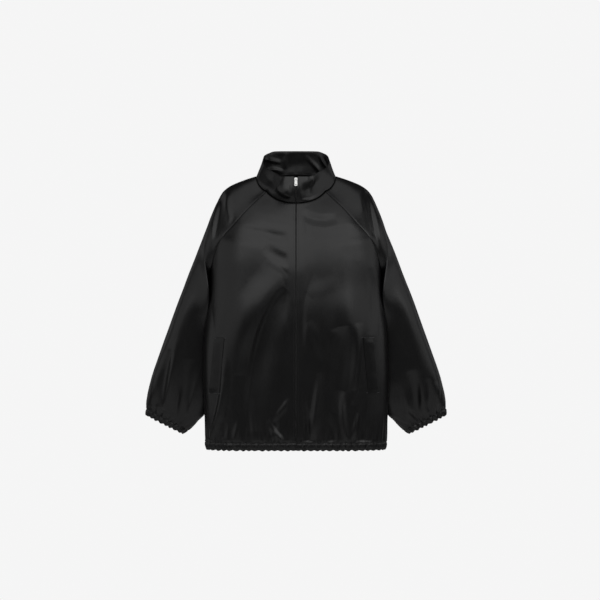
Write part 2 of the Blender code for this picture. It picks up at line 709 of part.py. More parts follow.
def add_wall(name, points, faces, thickness, finish, parent):
    """A wall with its own normals, whose edges stay where they are."""
    faces = np.array(faces)
    normals = point_normals(points, faces)
    normals /= np.linalg.norm(normals, axis=1)[:, None]
    add_object(name, *wall(points, faces, normals, thickness, 0.0), finish, parent)


def add_object(name, points, faces, finish, parent):
    mesh = bpy.data.meshes.new(name)
    mesh.from_pydata([tuple(p) for p in points], [], [tuple(int(i) for i in f) for f in faces])
    mesh.materials.append(finish)
    mesh.validate()
    mesh.shade_smooth()
    mesh.set_sharp_from_angle(angle=math.radians(50))
    obj = bpy.data.objects.new(name, mesh)
    bpy.context.scene.collection.objects.link(obj)
    obj.parent = parent
    return obj


# ---------------------------------------------------------------- cloth pieces
KINDS = ("body_front", "body_back", "sleeve_front", "sleeve_back")


def displaced_skin(strips):
    """Every strip's points moved off the plain surface by its folds and gathers, alike where strips meet."""
    parts = [(s.points, s.faces) for s in strips]
    normals = shared_normals(parts)
    meeting = defaultdict(list)
    for n, strip in enumerate(strips):
        for i, point in enumerate(strip.points):
            meeting[key_of(point)].append((n, i))
    result = [s.points.copy() for s in strips]
    for members in meeting.values():
        offset = np.mean([strips[n].offset[i] for n, i in members])
        moves = [normals[n][i] * offset for n, i in members]
        move = np.mean(moves, axis=0)
        for n, i in members:
            result[n][i] = strips[n].points[i] + move
    return result


def build_cloth(satin, parent):
    """Fronts, back, sleeve halves, hem casing and cuffs. Returns the outer skins that other pieces lie on."""
    names, strips = [], []
    for side in (1, -1):
        for kind in KINDS:
            names.append((kind, side, "panel"))
            strips.append(panel_strip(kind, side))
            names.append((kind, side, "casing"))
            strips.append(casing_strip(kind, side))
    points = displaced_skin(strips)
    for n, strip in enumerate(strips):
        strip.points = points[n]
    normals = shared_normals([(s.points, s.faces) for s in strips])
    index = {name: n for n, name in enumerate(names)}

    left, right = 1, -1
    pieces = {
        "front_left": ([("body_front", left, "panel")], CLOTH),
        "front_right": ([("body_front", right, "panel")], CLOTH),
        "back": ([("body_back", left, "panel"), ("body_back", right, "panel")], CLOTH),
        "hem_casing": (
            [
                ("body_front", left, "casing"),
                ("body_back", left, "casing"),
                ("body_back", right, "casing"),
                ("body_front", right, "casing"),
            ],
            CASING,
        ),
    }
    for side, word in ((left, "left"), (right, "right")):
        pieces[f"sleeve_front_{word}"] = ([("sleeve_front", side, "panel")], CLOTH)
        pieces[f"sleeve_back_{word}"] = ([("sleeve_back", side, "panel")], CLOTH)
        pieces[f"cuff_{word}"] = (
            [("sleeve_front", side, "casing"), ("sleeve_back", side, "casing")],
            CASING,
        )
    skins = {}
    for name, (parts, thickness) in pieces.items():
        chosen = [index[p] for p in parts]
        skin, faces = welded([strips[n] for n in chosen])
        lookup = {}
        for n in chosen:
            for point, normal in zip(strips[n].points, normals[n]):
                lookup.setdefault(key_of(point), []).append(normal)
        skin_normals = np.array([unit(np.mean(lookup[key_of(p)], axis=0)) for p in skin])
        add_object(name, *wall(skin, faces, skin_normals, thickness), satin, parent)
        skins[name] = (skin, faces)
    front_strips = [strips[index["body_front", left, part]] for part in ("panel", "casing")]
    return skins, front_strips


# ---------------------------------------------------------------- collar
def neck_points():
    """The collar seam from the zip to the spine, on the +X side, at the points where the panels' top rows end."""
    shares = np.linspace(0, 1, NECK_COLUMNS + 1)
    stretches = (
        body_row(2.0, shares, False),
        sleeve_row(2.0, shares, False)[1:],
        sleeve_row(2.0, shares, True)[1:],
        body_row(2.0, shares, True)[1:],
    )
    return np.vstack(stretches)


def collar_grid(top):
    """Rows of the collar's outer face, the share of each column from the zip to the spine, and the normals."""
    base = neck_points()
    shares = np.concatenate([[0], np.cumsum(np.linalg.norm(np.diff(base, axis=0), axis=1))])
    shares /= shares[-1]
    edge = np.array([read(COLLAR_TOP, "x y z", s) for s in shares])
    swell = np.array([read(COLLAR_SWELL, "out", s)[0] for s in shares])[:, None]
    away = edge * (1, 1, 0)
    away /= np.linalg.norm(away, axis=1)[:, None]
    rows = []
    for height in COLLAR_ROWS:
        level = COLLAR_FOOT + height * (top - COLLAR_FOOT)
        half = base + (edge - base) * level + away * swell * math.sin(math.pi * level)
        half[0, 0] = zip_half_gap(half[0, 2])
        rows.append(np.vstack([half, half[-2::-1] * (-1, 1, 1)]))
    shares = np.concatenate([shares, shares[-2::-1]])
    count = len(shares)
    ring = np.linspace(0, 1, count)
    faces = []
    for j in range(len(rows) - 1):
        faces += stitch(j * count, ring, (j + 1) * count, ring)
    points, faces = np.vstack(rows), np.array(faces)
    normals = point_normals(points, faces)
    normals /= np.linalg.norm(normals, axis=1)[:, None]
    return points, faces, normals, shares


def facing_depth(share, height):
    """How far the facing lies inside the collar's outer face: clear of the zip tape, then close, and wrinkled."""
    past_tape = np.clip((share - FACING_CLOSE[0]) / (FACING_CLOSE[1] - FACING_CLOSE[0]), 0, 1)
    close, deep = COLLAR_CLOTH + SEAM_GAP, TAPE_BACK + 3 * SEAM_GAP
    depth = deep + (close - deep) * past_tape**2 * (3 - 2 * past_tape)
    behind = np.clip((share - FACING_LOOSE[0]) / (FACING_LOOSE[1] - FACING_LOOSE[0]), 0, 1)
    waves = 1 + np.sin(2 * math.pi * (share * 3.2 + height * 0.6))
    return depth + FACING_WRINKLE * behind * waves * math.sin(math.pi * height)


def build_collar(satin, parent):
    """The collar and its facing, which shows inside. The facing stops just under the collar's top edge."""
    points, faces, normals, shares = collar_grid(1.0)
    add_object("collar", *wall(points, faces, normals, COLLAR_CLOTH, 0.0), satin, parent)
    count = len(shares)
    middle_line = [points[j * count] for j in range(len(COLLAR_ROWS))]
    side_line = [points[j * count + 1] for j in range(len(COLLAR_ROWS))]

    points, faces, normals, shares = collar_grid(FACING_TOP)
    depths = np.concatenate([facing_depth(shares, height) for height in COLLAR_ROWS])
    points -= normals * depths[:, None]
    for j in range(len(COLLAR_ROWS)):
        for column in (0, count - 1):
            points[j * count + column, 0] = math.copysign(FACING_EDGE, points[j * count + column, 0])
    add_wall("collar_facing", points, faces, COLLAR_CLOTH, satin, parent)
    return middle_line, side_line


# ---------------------------------------------------------------- pockets
def build_welts(skins, satin, parent):
    """Each welt is a strip read off its front panel's outer face and moved out."""
    downs = np.linspace(1, 0, WELT_ROWS + 1)
    acrosses = np.linspace(0, 1, WELT_COLUMNS + 1)
    for side, x, z, lean in zip(WELT["side"], WELT["x"], WELT["z"], WELT["lean"]):
        word = "left" if side > 0 else "right"
        skin, faces = skins[f"front_{word}"]
        tree = BVHTree.FromPolygons([tuple(p) for p in skin], [tuple(map(int, f)) for f in faces])
        points = []
        for down in downs:
            for across in acrosses:
                at = Vector((side * (x + lean * down + WELT_WIDTH * across), -1.0, z - WELT_LENGTH * down))
                hit, normal, _, _ = tree.ray_cast(at, Vector((0, 1, 0)))
                points.append(np.array(hit + normal * (WELT_LIFT + WELT_THICK)))
        faces = []
        for j in range(len(downs) - 1):
            faces += stitch(j * len(acrosses), acrosses, (j + 1) * len(acrosses), acrosses)
        faces = faces if side > 0 else [f[::-1] for f in faces]
        add_wall(f"pocket_welt_{word}", np.array(points), faces, WELT_THICK, satin, parent)


# ---------------------------------------------------------------- zip
def zip_lines(collar_lines, strips):
    """The front edge and the column beside it, from the collar's top to the hem, on the cloth's outer face."""
    middle, beside = collar_lines[0][::-1], collar_lines[1][::-1]
    for strip in strips:
        starts = np.concatenate([[0], np.cumsum([len(s) for s in strip.shares])])
        for start in starts[:-1][::-1]:
            middle.append(strip.points[start])
            beside.append(strip.points[start + 1])
    keep = [0] + [k for k in range(1, len(middle)) if middle[k - 1][2] - middle[k][2] > 0.0006]
    return np.array(middle)[keep], np.array(beside)[keep]


def at_depth(line, depth):
    """The line in the YZ plane moved into the jacket by a depth, with mitred corners."""
    along = np.diff(line[:, 1:], axis=0)
    along /= np.linalg.norm(along, axis=1)[:, None]
    behind = np.column_stack([-along[:, 1], along[:, 0]])
    before = np.vstack([behind[:1], behind])
    after = np.vstack([behind, behind[-1:]])
    mitre = (before + after) / (1 + (before * after).sum(axis=1))[:, None]
    moved = line.copy()
    moved[:, 1:] += mitre * depth
    return moved


def ribbon(edges, near, far):
    """A closed strip between two lines that run down the front, from one depth behind the cloth to another."""
    (first, second), count = edges, len(edges[0])
    corners = (at_depth(first, near), at_depth(second, near), at_depth(second, far), at_depth(first, far))
    points = np.stack(corners, axis=1).reshape(-1, 3)
    faces = [(0, 1, 2), (0, 2, 3)]
    for j in range(count - 1):
        for k in range(4):
            a, b = 4 * j + k, 4 * j + (k + 1) % 4
            faces += [(a, a + 4, b + 4), (a, b + 4, b)]
    last = 4 * (count - 1)
    faces += [(last, last + 2, last + 1), (last, last + 3, last + 2)]
    return points, outward(points, faces)


def line_at(middle, beside, x):
    """The line level with the cloth at the given x, which may differ along it. It stays level across the slit."""
    t = np.clip((x - middle[:, 0]) / (beside[:, 0] - middle[:, 0]), 0, None)
    line = middle + (beside - middle) * t[:, None]
    line[:, 0] = x
    return line


def outward(points, faces):
    """The faces, turned over if they enclose a negative volume."""
    faces = np.array(faces)
    volume = np.einsum("ij,ij->i", points[faces[:, 0]], face_normals(points, faces)).sum()
    return faces if volume > 0 else faces[:, ::-1]


def build_zip(middle, beside, tape, parent):
    """The two tapes behind the front edges, and the closed chain between them."""
    rise = np.clip((middle[:, 2] - SLIDER_Z) / (middle[0, 2] - SLIDER_Z), 0, 1)
    inner = TAPE_MEET + (TAPE_SPREAD - TAPE_MEET) * rise
    inner_line = line_at(middle, beside, inner)
    outer_line = line_at(middle, beside, np.full(len(middle), TAPE_WIDTH))
    for side, word in ((1, "left"), (-1, "right")):
        edges = [line * (side, 1, 1) for line in (inner_line, outer_line)]
        add_object(f"zip_tape_{word}", *ribbon(edges, TAPE_FRONT, TAPE_BACK), tape, parent)
    closed = middle[:, 2] < SLIDER_Z
    level = [middle[closed] * (0, 1, 1) + (x, 0, 0) for x in (-CHAIN_HALF_WIDTH, CHAIN_HALF_WIDTH)]
    add_object("zip_chain", *ribbon(level, CHAIN_FRONT, CHAIN_BACK), tape, parent)


def prism(name, outline, low, high, finish, along="y"):
    """A closed prism with the outline in x and z and its depth along y, or in y and z and its depth along x."""
    mesh = bpy.data.meshes.new(name)
    shape = bmesh.new()
    order = (lambda a, d, b: (a, d, b)) if along == "y" else (lambda a, d, b: (d, a, b))
    ends = [[shape.verts.new(order(a, depth, b)) for a, b in outline] for depth in (low, high)]
    count = len(outline)
    shape.faces.new(ends[0])
    shape.faces.new(ends[1][::-1])
    for k in range(count):
        after = (k + 1) % count
        shape.faces.new((ends[0][k], ends[1][k], ends[1][after], ends[0][after]))
    bmesh.ops.recalc_face_normals(shape, faces=shape.faces)
    shape.to_mesh(mesh)
    shape.free()
    mesh.materials.append(finish)
    obj = bpy.data.objects.new(name, mesh)
    bpy.context.scene.collection.objects.link(obj)
    return obj


def combine(target, tool, operation):
    """Joins the tool to the target or cuts it away, and keeps the tool as a hidden guide."""
    tool.hide_render = True
    tool.display_type = "WIRE"
    tool.parent = target
    change = target.modifiers.new(tool.name, "BOOLEAN")
    change.operation = operation
    change.solver = "EXACT"
    change.object = tool


def rounded(points, radius, steps=3):
    """The outline with each corner replaced by an arc-like curve of the given reach."""
    points = [np.array(p, float) for p in points]
    result = []
    for k, corner in enumerate(points):
        before, after = points[k - 1] - corner, points[(k + 1) % len(points)] - corner
        reach = min(radius, np.linalg.norm(before) * 0.45, np.linalg.norm(after) * 0.45)
        start, end = corner + unit(before) * reach, corner + unit(after) * reach
        for t in np.linspace(0, 1, steps + 1):
            result.append(tuple(start * (1 - t) ** 2 + 2 * corner * t * (1 - t) + end * t**2))
    return result


def box_outline(x0, z0, x1, z1):
    return [(x0, z0), (x1, z0), (x1, z1), (x0, z1)]


def build_slider(line, nickel, parent):
    """The slider: two plates joined by a post, with a bridge in front that the tab hangs on."""
    rising = line[::-1]
    y = np.interp(SLIDER_Z, rising[:, 2], rising[:, 1])
    foot_y = np.interp(SLIDER_Z - SLIDER_LENGTH, rising[:, 2], rising[:, 1])
    slope = math.atan2(foot_y - y, SLIDER_LENGTH)

    half = SLIDER_LENGTH / 2
    plate = [
        (-SLIDER_FOOT_HALF, -half),
        (SLIDER_FOOT_HALF, -half),
        (SLIDER_TOP_HALF, half * 0.3),
        (SLIDER_TOP_HALF * 0.8, half),
        (-SLIDER_TOP_HALF * 0.8, half),
        (-SLIDER_TOP_HALF, half * 0.3),
    ]
    slider = prism("zip_slider", rounded(plate, PLATE_CORNER), *SLIDER_FRONT, nickel)
    back = prism("slider_back_plate", rounded(plate, PLATE_CORNER), *SLIDER_BACK, nickel)
    middle = (SLIDER_FRONT[0] + SLIDER_FRONT[1]) / 2, (SLIDER_BACK[0] + SLIDER_BACK[1]) / 2
    post = prism("slider_post", box_outline(-POST_HALF, POST_SPAN[0], POST_HALF, POST_SPAN[1]), *middle, nickel)
    low, high = BRIDGE_SPAN
    loop = rounded(box_outline(BRIDGE_OUT, low, middle[0], high), BRIDGE_CORNER)
    bridge = prism("slider_bridge", loop, -BRIDGE_HALF, BRIDGE_HALF, nickel, along="x")
    inside = box_outline(BRIDGE_OUT + BRIDGE_WALL, low + BRIDGE_WALL, SLIDER_FRONT[0], high - BRIDGE_WALL)
    hollow = prism("slider_bridge_hollow", inside, -2 * BRIDGE_HALF, 2 * BRIDGE_HALF, nickel, along="x")
    combine(slider, back, "UNION")
    combine(slider, post, "UNION")
    combine(slider, bridge, "UNION")
    combine(slider, hollow, "DIFFERENCE")
    slider.parent = parent
    slider.location = (0.0, y, SLIDER_Z)
    slider.rotation_euler = (slope, 0.0, 0.0)

    window, top, bottom = TAB_WINDOW
    outline = [
        (-TAB_NECK_HALF, TAB_BAR_HALF),
        (-TAB_NECK_HALF, bottom),
        (-TAB_HALF_WIDTH, bottom * 1.8),
        (-TAB_HALF_WIDTH, -TAB_LENGTH),
        (TAB_HALF_WIDTH, -TAB_LENGTH),
        (TAB_HALF_WIDTH, bottom * 1.8),
        (TAB_NECK_HALF, bottom),
        (TAB_NECK_HALF, TAB_BAR_HALF),
    ]
    tab = prism("pull_tab", rounded(outline, TAB_CORNER), -TAB_THICK / 2, TAB_THICK / 2, nickel)
    opening = prism("tab_window", box_outline(-window, bottom, window, top), -TAB_THICK, TAB_THICK, nickel)
    radius, height = TAB_HOLE
    turns = np.linspace(0, 2 * math.pi, 16, endpoint=False)
    circle = [(radius * math.cos(a), height + radius * math.sin(a)) for a in turns]
    hole = prism("tab_hole", circle, -TAB_THICK, TAB_THICK, nickel)
    combine(tab, opening, "DIFFERENCE")
    combine(tab, hole, "DIFFERENCE")
    for obj in (slider, tab):
        obj.data.shade_smooth()
        obj.data.set_sharp_from_angle(angle=math.radians(40))
    tab.parent = parent
    turned = Matrix.Rotation(slope, 3, "X") @ Vector((0.0, PIVOT[0], PIVOT[1]))
    tab.location = slider.location + turned
    tab.rotation_euler = slider.rotation_euler


def main():
    for obj in list(bpy.data.objects):
        bpy.data.objects.remove(obj, do_unlink=True)
    satin = material("black_satin", SATIN, 0.42)
    tape = material("zip_tape_black", TAPE_BLACK, 0.7)
    nickel = material("nickel", NICKEL, 0.25, 1.0)
    jacket = bpy.data.objects.new("jacket", None)
    bpy.context.scene.collection.objects.link(jacket)
    skins, front_strips = build_cloth(satin, jacket)
    collar_lines = build_collar(satin, jacket)
    build_welts(skins, satin, jacket)
    middle, beside = zip_lines(collar_lines, front_strips)
    build_zip(middle, beside, tape, jacket)
    build_slider(middle, nickel, jacket)


main()
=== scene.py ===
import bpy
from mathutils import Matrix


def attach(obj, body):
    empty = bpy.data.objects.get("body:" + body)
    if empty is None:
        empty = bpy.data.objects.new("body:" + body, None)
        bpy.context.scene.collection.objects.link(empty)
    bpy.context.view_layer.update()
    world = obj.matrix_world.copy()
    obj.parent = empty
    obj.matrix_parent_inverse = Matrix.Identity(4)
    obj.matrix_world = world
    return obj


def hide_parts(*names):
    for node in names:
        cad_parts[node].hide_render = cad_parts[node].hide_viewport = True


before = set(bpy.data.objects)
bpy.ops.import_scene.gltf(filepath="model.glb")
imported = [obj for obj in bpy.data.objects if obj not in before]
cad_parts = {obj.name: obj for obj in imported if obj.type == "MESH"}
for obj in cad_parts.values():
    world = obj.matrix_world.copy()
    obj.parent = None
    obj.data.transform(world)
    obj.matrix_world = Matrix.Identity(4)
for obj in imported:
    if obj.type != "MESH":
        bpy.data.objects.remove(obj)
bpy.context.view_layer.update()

import math

import bpy
import numpy as np
from mathutils import Vector, noise
from mathutils.bvhtree import BVHTree

# Black satin track jacket. Metres, +Z up, the front faces -Y, and the wearer's left is +X. The origin is in
# the middle of the neck opening. Every curve is written for the +X side and mirrored.

# The camera looks level at the middle of the jacket, from the photo's distance.
camera = {"place": (0.011, -5.5, -0.338), "lens": 120.0, "sensor": 36.0}


def placed(name, data, place=(0.0, 0.0, 0.0)):
    made = bpy.data.objects.new(name, data)
    made.location = place
    bpy.context.scene.collection.objects.link(made)
    return made


cameraData = bpy.data.cameras.new("studioCamera")
cameraData.lens = camera["lens"]
cameraData.sensor_width = camera["sensor"]
cameraData.clip_end = 40.0
cameraObject = placed("studioCamera", cameraData, camera["place"])
cameraObject.rotation_euler = (math.pi / 2, 0.0, 0.0)
bpy.context.scene.camera = cameraObject
print("camera ready")

# Sizes that every cloth piece shares.
hemZ = -0.744
hemTop = -0.7225  # top of the hem's casing
underarmZ = -0.338
neckFront = (0.0, -0.086, -0.0757)  # where the zip crosses the collar seam
neckBack = (0.0, 0.078, 0.012)
clothThick = 0.0011
edgeSteps = np.array([0.0, 0.0006, 0.0013, 0.0022, 0.0034, 0.005])  # columns beside a seam
hemWaves = 18  # gathers from the zip to a side seam
cuffWaves = 9  # gathers in half a cuff
sides = ((1, "left"), (-1, "right"))
gatherSeeds = {"bodyFront": 11, "bodyBack": 23, "sleeveFront": 37, "sleeveBack": 41}


def tableOf(names, *rows):
    columns = np.array(rows, float).T
    return dict(zip(names.split(), columns))


# The body below the underarm. square is a handle's share of its side: 0.55 is an ellipse, more is squarer.
bodyRings = tableOf(
    "z halfWidth front back sideY square",
    (-0.744, 0.2425, -0.121, 0.108, -0.014, 0.6),
    (-0.704, 0.2475, -0.127, 0.114, -0.016, 0.6),
    (-0.64, 0.25, -0.132, 0.119, -0.019, 0.6),
    (-0.54, 0.253, -0.138, 0.123, -0.022, 0.59),
    (-0.44, 0.25, -0.143, 0.126, -0.018, 0.58),
    (-0.38, 0.245, -0.1455, 0.1275, -0.008, 0.57),
    (-0.338, 0.2385, -0.146, 0.128, 0, 0.57),
)
chestLine = tableOf(
    "z y",
    (-0.338, -0.146),
    (-0.27, -0.144),
    (-0.2, -0.133),
    (-0.14, -0.115),
    (-0.1, -0.0975),
    (-0.0757, -0.086),
)
spineLine = tableOf(
    "z y",
    (-0.338, 0.128),
    (-0.23, 0.13),
    (-0.12, 0.123),
    (-0.05, 0.103),
    (-0.01, 0.086),
    (0.012, 0.078),
)
# Raglan seams from the underarm (share 0) to the collar (1). n is the body's outward direction there. turn
# says how far round its own section the sleeve leaves, in degrees, and flow how far it runs on smoothly.
frontSeam = tableOf(
    "share x y z nx ny nz turn flow",
    (0, 0.2385, 0, -0.338, 1, 0, 0, 0, 0),
    (0.14, 0.2335, -0.04, -0.29, 0.96, -0.27, 0.05, 2, 0),
    (0.3, 0.2245, -0.08, -0.236, 0.84, -0.52, 0.14, 82, 0),
    (0.44, 0.211, -0.103, -0.191, 0.62, -0.73, 0.27, 88, 0.25),
    (0.54, 0.196, -0.112, -0.166, 0.46, -0.79, 0.4, 88, 0.75),
    (0.68, 0.166, -0.113, -0.132, 0.33, -0.77, 0.54, 90, 1),
    (0.84, 0.13, -0.096, -0.091, 0.28, -0.72, 0.63, 90, 1),
    (1, 0.08, -0.05, -0.041, 0.36, -0.62, 0.7, 90, 1),
)
backSeam = tableOf(
    "share x y z nx ny nz turn flow",
    (0, 0.2385, 0, -0.338, 1, 0, 0, 0, 0),
    (0.14, 0.231, 0.046, -0.288, 0.95, 0.3, 0.05, 2, 0),
    (0.3, 0.219, 0.084, -0.23, 0.8, 0.58, 0.12, 82, 0),
    (0.44, 0.204, 0.104, -0.184, 0.58, 0.78, 0.22, 82, 0.25),
    (0.54, 0.188, 0.111, -0.156, 0.42, 0.84, 0.32, 88, 0.75),
    (0.68, 0.156, 0.112, -0.116, 0.28, 0.84, 0.46, 90, 1),
    (0.84, 0.119, 0.098, -0.066, 0.22, 0.76, 0.61, 90, 1),
    (1, 0.074, 0.06, 0.004, 0.34, 0.62, 0.7, 90, 1),
)
shoulderLine = tableOf(
    "share x y z",
    (0, 0.2955, 0.011, -0.274),
    (0.16, 0.269, 0.0125, -0.201),
    (0.34, 0.241, 0.014, -0.134),
    (0.5, 0.2215, 0.015, -0.082),
    (0.6, 0.2095, 0.015, -0.054),
    (0.66, 0.199, 0.0145, -0.039),
    (0.74, 0.18, 0.0135, -0.0245),
    (0.87, 0.142, 0.011, -0.0085),
    (1, 0.108, 0.006, 0.0025),
)
# Each row is one ring of the sleeve below the underarm: its inner and outer points, and how deep it is.
sleeveRings = tableOf(
    "down innerX innerY innerZ outerX outerY outerZ frontDepth backDepth",
    (0, 0.2385, 0, -0.338, 0.2955, 0.011, -0.274, 0.083, 0.086),
    (0.11, 0.246, 0.016, -0.378, 0.3205, 0.0125, -0.334, 0.084, 0.085),
    (0.28, 0.2515, 0.031, -0.446, 0.3475, 0.015, -0.408, 0.084, 0.081),
    (0.44, 0.2525, 0.036, -0.52, 0.3735, 0.019, -0.48, 0.081, 0.0765),
    (0.62, 0.252, 0.036, -0.596, 0.3995, 0.023, -0.556, 0.073, 0.07),
    (0.74, 0.253, 0.033, -0.643, 0.4095, 0.025, -0.6, 0.0625, 0.062),
    (0.86, 0.275, 0.029, -0.674, 0.412, 0.026, -0.624, 0.046, 0.048),
    (0.93, 0.2978, 0.027, -0.6955, 0.4115, 0.0265, -0.637, 0.031, 0.032),
    (1, 0.314, 0.026, -0.706, 0.413, 0.0265, -0.656, 0.024, 0.024),
)
# how far the sleeve's front stands out beside the body
sleeveLift = tableOf(
    "down lift",
    (0, 0),
    (0.11, 0.012),
    (0.28, 0.02),
    (0.5, 0.018),
    (0.86, 0.003),
    (1, 0),
)
acrossArm = np.array([0.906, 0.0, 0.423])  # from the underarm to the sleeve's top line
cuffTop = 0.93  # where the cuff's casing starts, down the sleeve

# Above the underarm a row's handles pass from the ring's own shape to these shares of its chord.
chestHandles = (0.4, 0.36)
chestEase = 0.6
chestNeckTangent = (0.47, 0.6, 0.64)
spineNeckTangent = (0.5, -0.66, -0.1)
shoulderHandles = (0.36, 0.46)
shoulderEase = 0.42
shoulderPower = 0.7
ringHandle = 4 / 3
seamStep = 0.01  # share of a seam over which its direction is read


def smoothCurve(xs, ys, at):  # the cubic through the points that never overshoots
    steps = np.diff(xs)
    slopes = np.diff(ys) / steps
    product = slopes[:-1] * slopes[1:]
    total = np.where(product > 0, slopes[:-1] + slopes[1:], 1.0)
    inner = np.where(product > 0, 2 * product / total, 0.0)
    tangents = np.concatenate([slopes[:1], inner, slopes[-1:]])
    i = np.clip(np.searchsorted(xs, at, side="right") - 1, 0, len(steps) - 1)
    t = (at - xs[i]) / steps[i]
    rise, run = ys[i + 1] - ys[i], steps[i]
    bend = tangents[i] * (1 - t) - tangents[i + 1] * t
    return ys[i] + rise * t * t * (3 - 2 * t) + run * t * (1 - t) * bend


def readAt(table, names, at):
    keys = next(iter(table.values()))
    return np.array([float(smoothCurve(keys, table[n], np.float64(at))) for n in names.split()])


def unit(v):
    return v / np.linalg.norm(v)


def unitRows(vectors):
    return vectors / np.linalg.norm(vectors, axis=-1, keepdims=True)


def runAlong(points, axis=0):  # how far along its own line each point lies
    steps = np.linalg.norm(np.diff(points, axis=axis), axis=-1)
    start = np.zeros_like(np.take(steps, [0], axis))
    return np.concatenate([start, np.cumsum(steps, axis=axis)], axis=axis)


def easeStep(t):
    t = np.clip(t, 0, 1)
    return t * t * (3 - 2 * t)


def evenShares(length, count):  # count columns across, with more beside both seams
    beside = edgeSteps / length
    middle = np.linspace(beside[-1], 1 - beside[-1], count)
    return np.concatenate([beside[:-1], middle, 1 - beside[-2::-1]])


def bezierRow(p0, p1, p2, p3, count, flip=False, shares=None, push=None):
    t = np.linspace(0, 1, 1401)[:, None]
    curve = (1 - t) ** 3 * p0 + 3 * (1 - t) ** 2 * t * p1 + 3 * (1 - t) * t**2 * p2 + t**3 * p3
    if push is not None:
        chord = p3 - p0
        curve = curve + push(np.clip((curve - p0) @ chord / (chord @ chord), 0, 1), curve)
    length = runAlong(curve)
    if shares is None:
        shares = evenShares(length[-1], count)
    row = np.stack([np.interp(shares * length[-1], length, curve[:, k]) for k in range(3)], axis=1)
    return (row[::-1] if flip else row), shares, length[-1]


# Filled cloth is squarer across than the solids' plain ellipses: flat in front, turning quickly at its sides.
squaring = {
    "plain": 2.15,
    "plainSleeve": 2.0,
    "sleeveInner": 9.0,
    "sleeveFront": 3.0,
    "sleeveBack": 2.6,
    "bodyFront": 4.2,
    "bodyBack": 2.6,
    "towardsBody": 0.15,
    "riseFade": 0.8,
    "innerFade": 0.2,
    "outerFade": 0.75,
    "cuffFade": 0.35,
    "leanFrom": 0.12,  # the lean towards the body ends between these two rises
    "leanTo": 0.37,
}


def rounded(u, power):
    return (1 - u**power) ** (1 / power)


def sleevePush(back, depth, inner, outer, lift, near):
    def push(u, curve):
        across = np.abs(2 * u - 1)
        outerPower = squaring["sleeveBack" if back else "sleeveFront"]
        innerPower = outerPower if back else squaring["sleeveInner"]
        power = np.where(u < 0.5, innerPower, outerPower)
        extra = rounded(across, power) - rounded(across, squaring["plainSleeve"])
        extra = extra * np.where(u < 0.5, inner, outer) * depth + lift * (1 - u) * rounded(across, power)
        forward = np.abs(curve[:, 1] - curve[0, 1]) + extra
        toBody = -squaring["towardsBody"] * forward * (1 - u) * near
        return np.stack([toBody, extra * (1 if back else -1), extra * 0], axis=1)

    return push


def bodyPush(back, half, depth, amount):
    def push(u, curve):
        across = np.clip(np.abs(curve[:, 0]) / half, 0, 1)
        power = squaring["bodyBack" if back else "bodyFront"]
        extra = rounded(across, power) - rounded(across, squaring["plain"])
        return (extra * amount * depth)[:, None] * (0, 1 if back else -1, 0)

    return push


zipSlit = {"half": 0.001, "spread": 0.0047, "spreadFrom": -0.048, "spreadTo": -0.028}


def slitShift(row, shares):  # makes the gap at the zip, which the slider holds open at the top
    t = (row[0, 2] - zipSlit["spreadFrom"]) / (zipSlit["spreadTo"] - zipSlit["spreadFrom"])
    half = zipSlit["half"] + (zipSlit["spread"] - zipSlit["half"]) * easeStep(t)
    return half * (1 - shares) ** 6


def directionAt(line, share):
    low, high = max(share - seamStep, 0), min(share + seamStep, 1)
    return unit(readAt(line, "x y z", high) - readAt(line, "x y z", low))


def seamPoint(seam, share):
    here = readAt(seam, "x y z", share)
    along = directionAt(seam, share)
    normal = readAt(seam, "nx ny nz", share)
    normal = unit(normal - along * (normal @ along))
    level = unit(np.cross((0, 0, 1), normal))
    across = np.cross(normal, along)
    across *= -1 if across @ (0, 0, 1) < 0 else 1
    turn, flow = readAt(seam, "turn flow", share)
    turn = math.radians(turn)
    ahead = np.array([0.0, 1.0 if seam is backSeam else -1.0, 0.0])
    roundArm = ahead * math.cos(turn) + acrossArm * math.sin(turn)
    return here, level, unit(roundArm * (1 - flow) + across * flow)


# Rows of the body from the zip to the side edge, or at the back from the side edge to the spine.
def bodyRow(up, back, count, shares=None):
    sign = 1 if back else -1
    if up <= 1:
        z = hemTop + (underarmZ - hemTop) * up
        half, front, rear, sideY, square = readAt(bodyRings, "halfWidth front back sideY square", z)
        middle = np.array([0.0, rear if back else front, z])
        side = np.array([half, sideY, z])
        handleIn = np.array([square * half, 0.0, 0.0])
        handleOut = np.array([0.0, sign * square * abs(middle[1] - sideY), 0.0])
        push = bodyPush(back, half, abs(middle[1] - sideY), 1.0)
    else:
        rise = up - 1
        profile, seam = (spineLine, backSeam) if back else (chestLine, frontSeam)
        neck = neckBack if back else neckFront
        z = underarmZ + (neck[2] - underarmZ) * rise
        middle = np.array([0.0, readAt(profile, "y", z)[0], z])
        side, level, _ = seamPoint(seam, rise)
        level = -level if back else level
        neckTangent = np.array(spineNeckTangent if back else chestNeckTangent)
        blend = np.clip((rise - chestEase) / (1 - chestEase), 0, 1) ** 2
        tangent = unit(level * (1 - blend) + unit(neckTangent) * blend)
        chord = np.linalg.norm(side - middle)
        half, front, rear, square = readAt(bodyRings, "halfWidth front back square", underarmZ)
        depth = rear if back else -front
        ringIn, ringOut = square * np.array([half, depth]) / math.hypot(half, depth)
        ease = min(rise / chestEase, 1)
        handleIn = np.array([chord * (ringIn * (1 - ease) + chestHandles[0] * ease), 0.0, 0.0])
        handleOut = -tangent * chord * (ringOut * (1 - ease) + chestHandles[1] * ease)
        amount = 1 - easeStep(easeStep(rise / squaring["riseFade"]))
        push = bodyPush(back, side[0], abs(middle[1] - side[1]), amount) if amount > 0 else None
    curve = (middle, middle + handleIn, side + handleOut, side)
    row, shares, length = bezierRow(*curve, count, back, shares, push)
    if not back:
        row[:, 0] += slitShift(row, shares)
    return row, shares, length


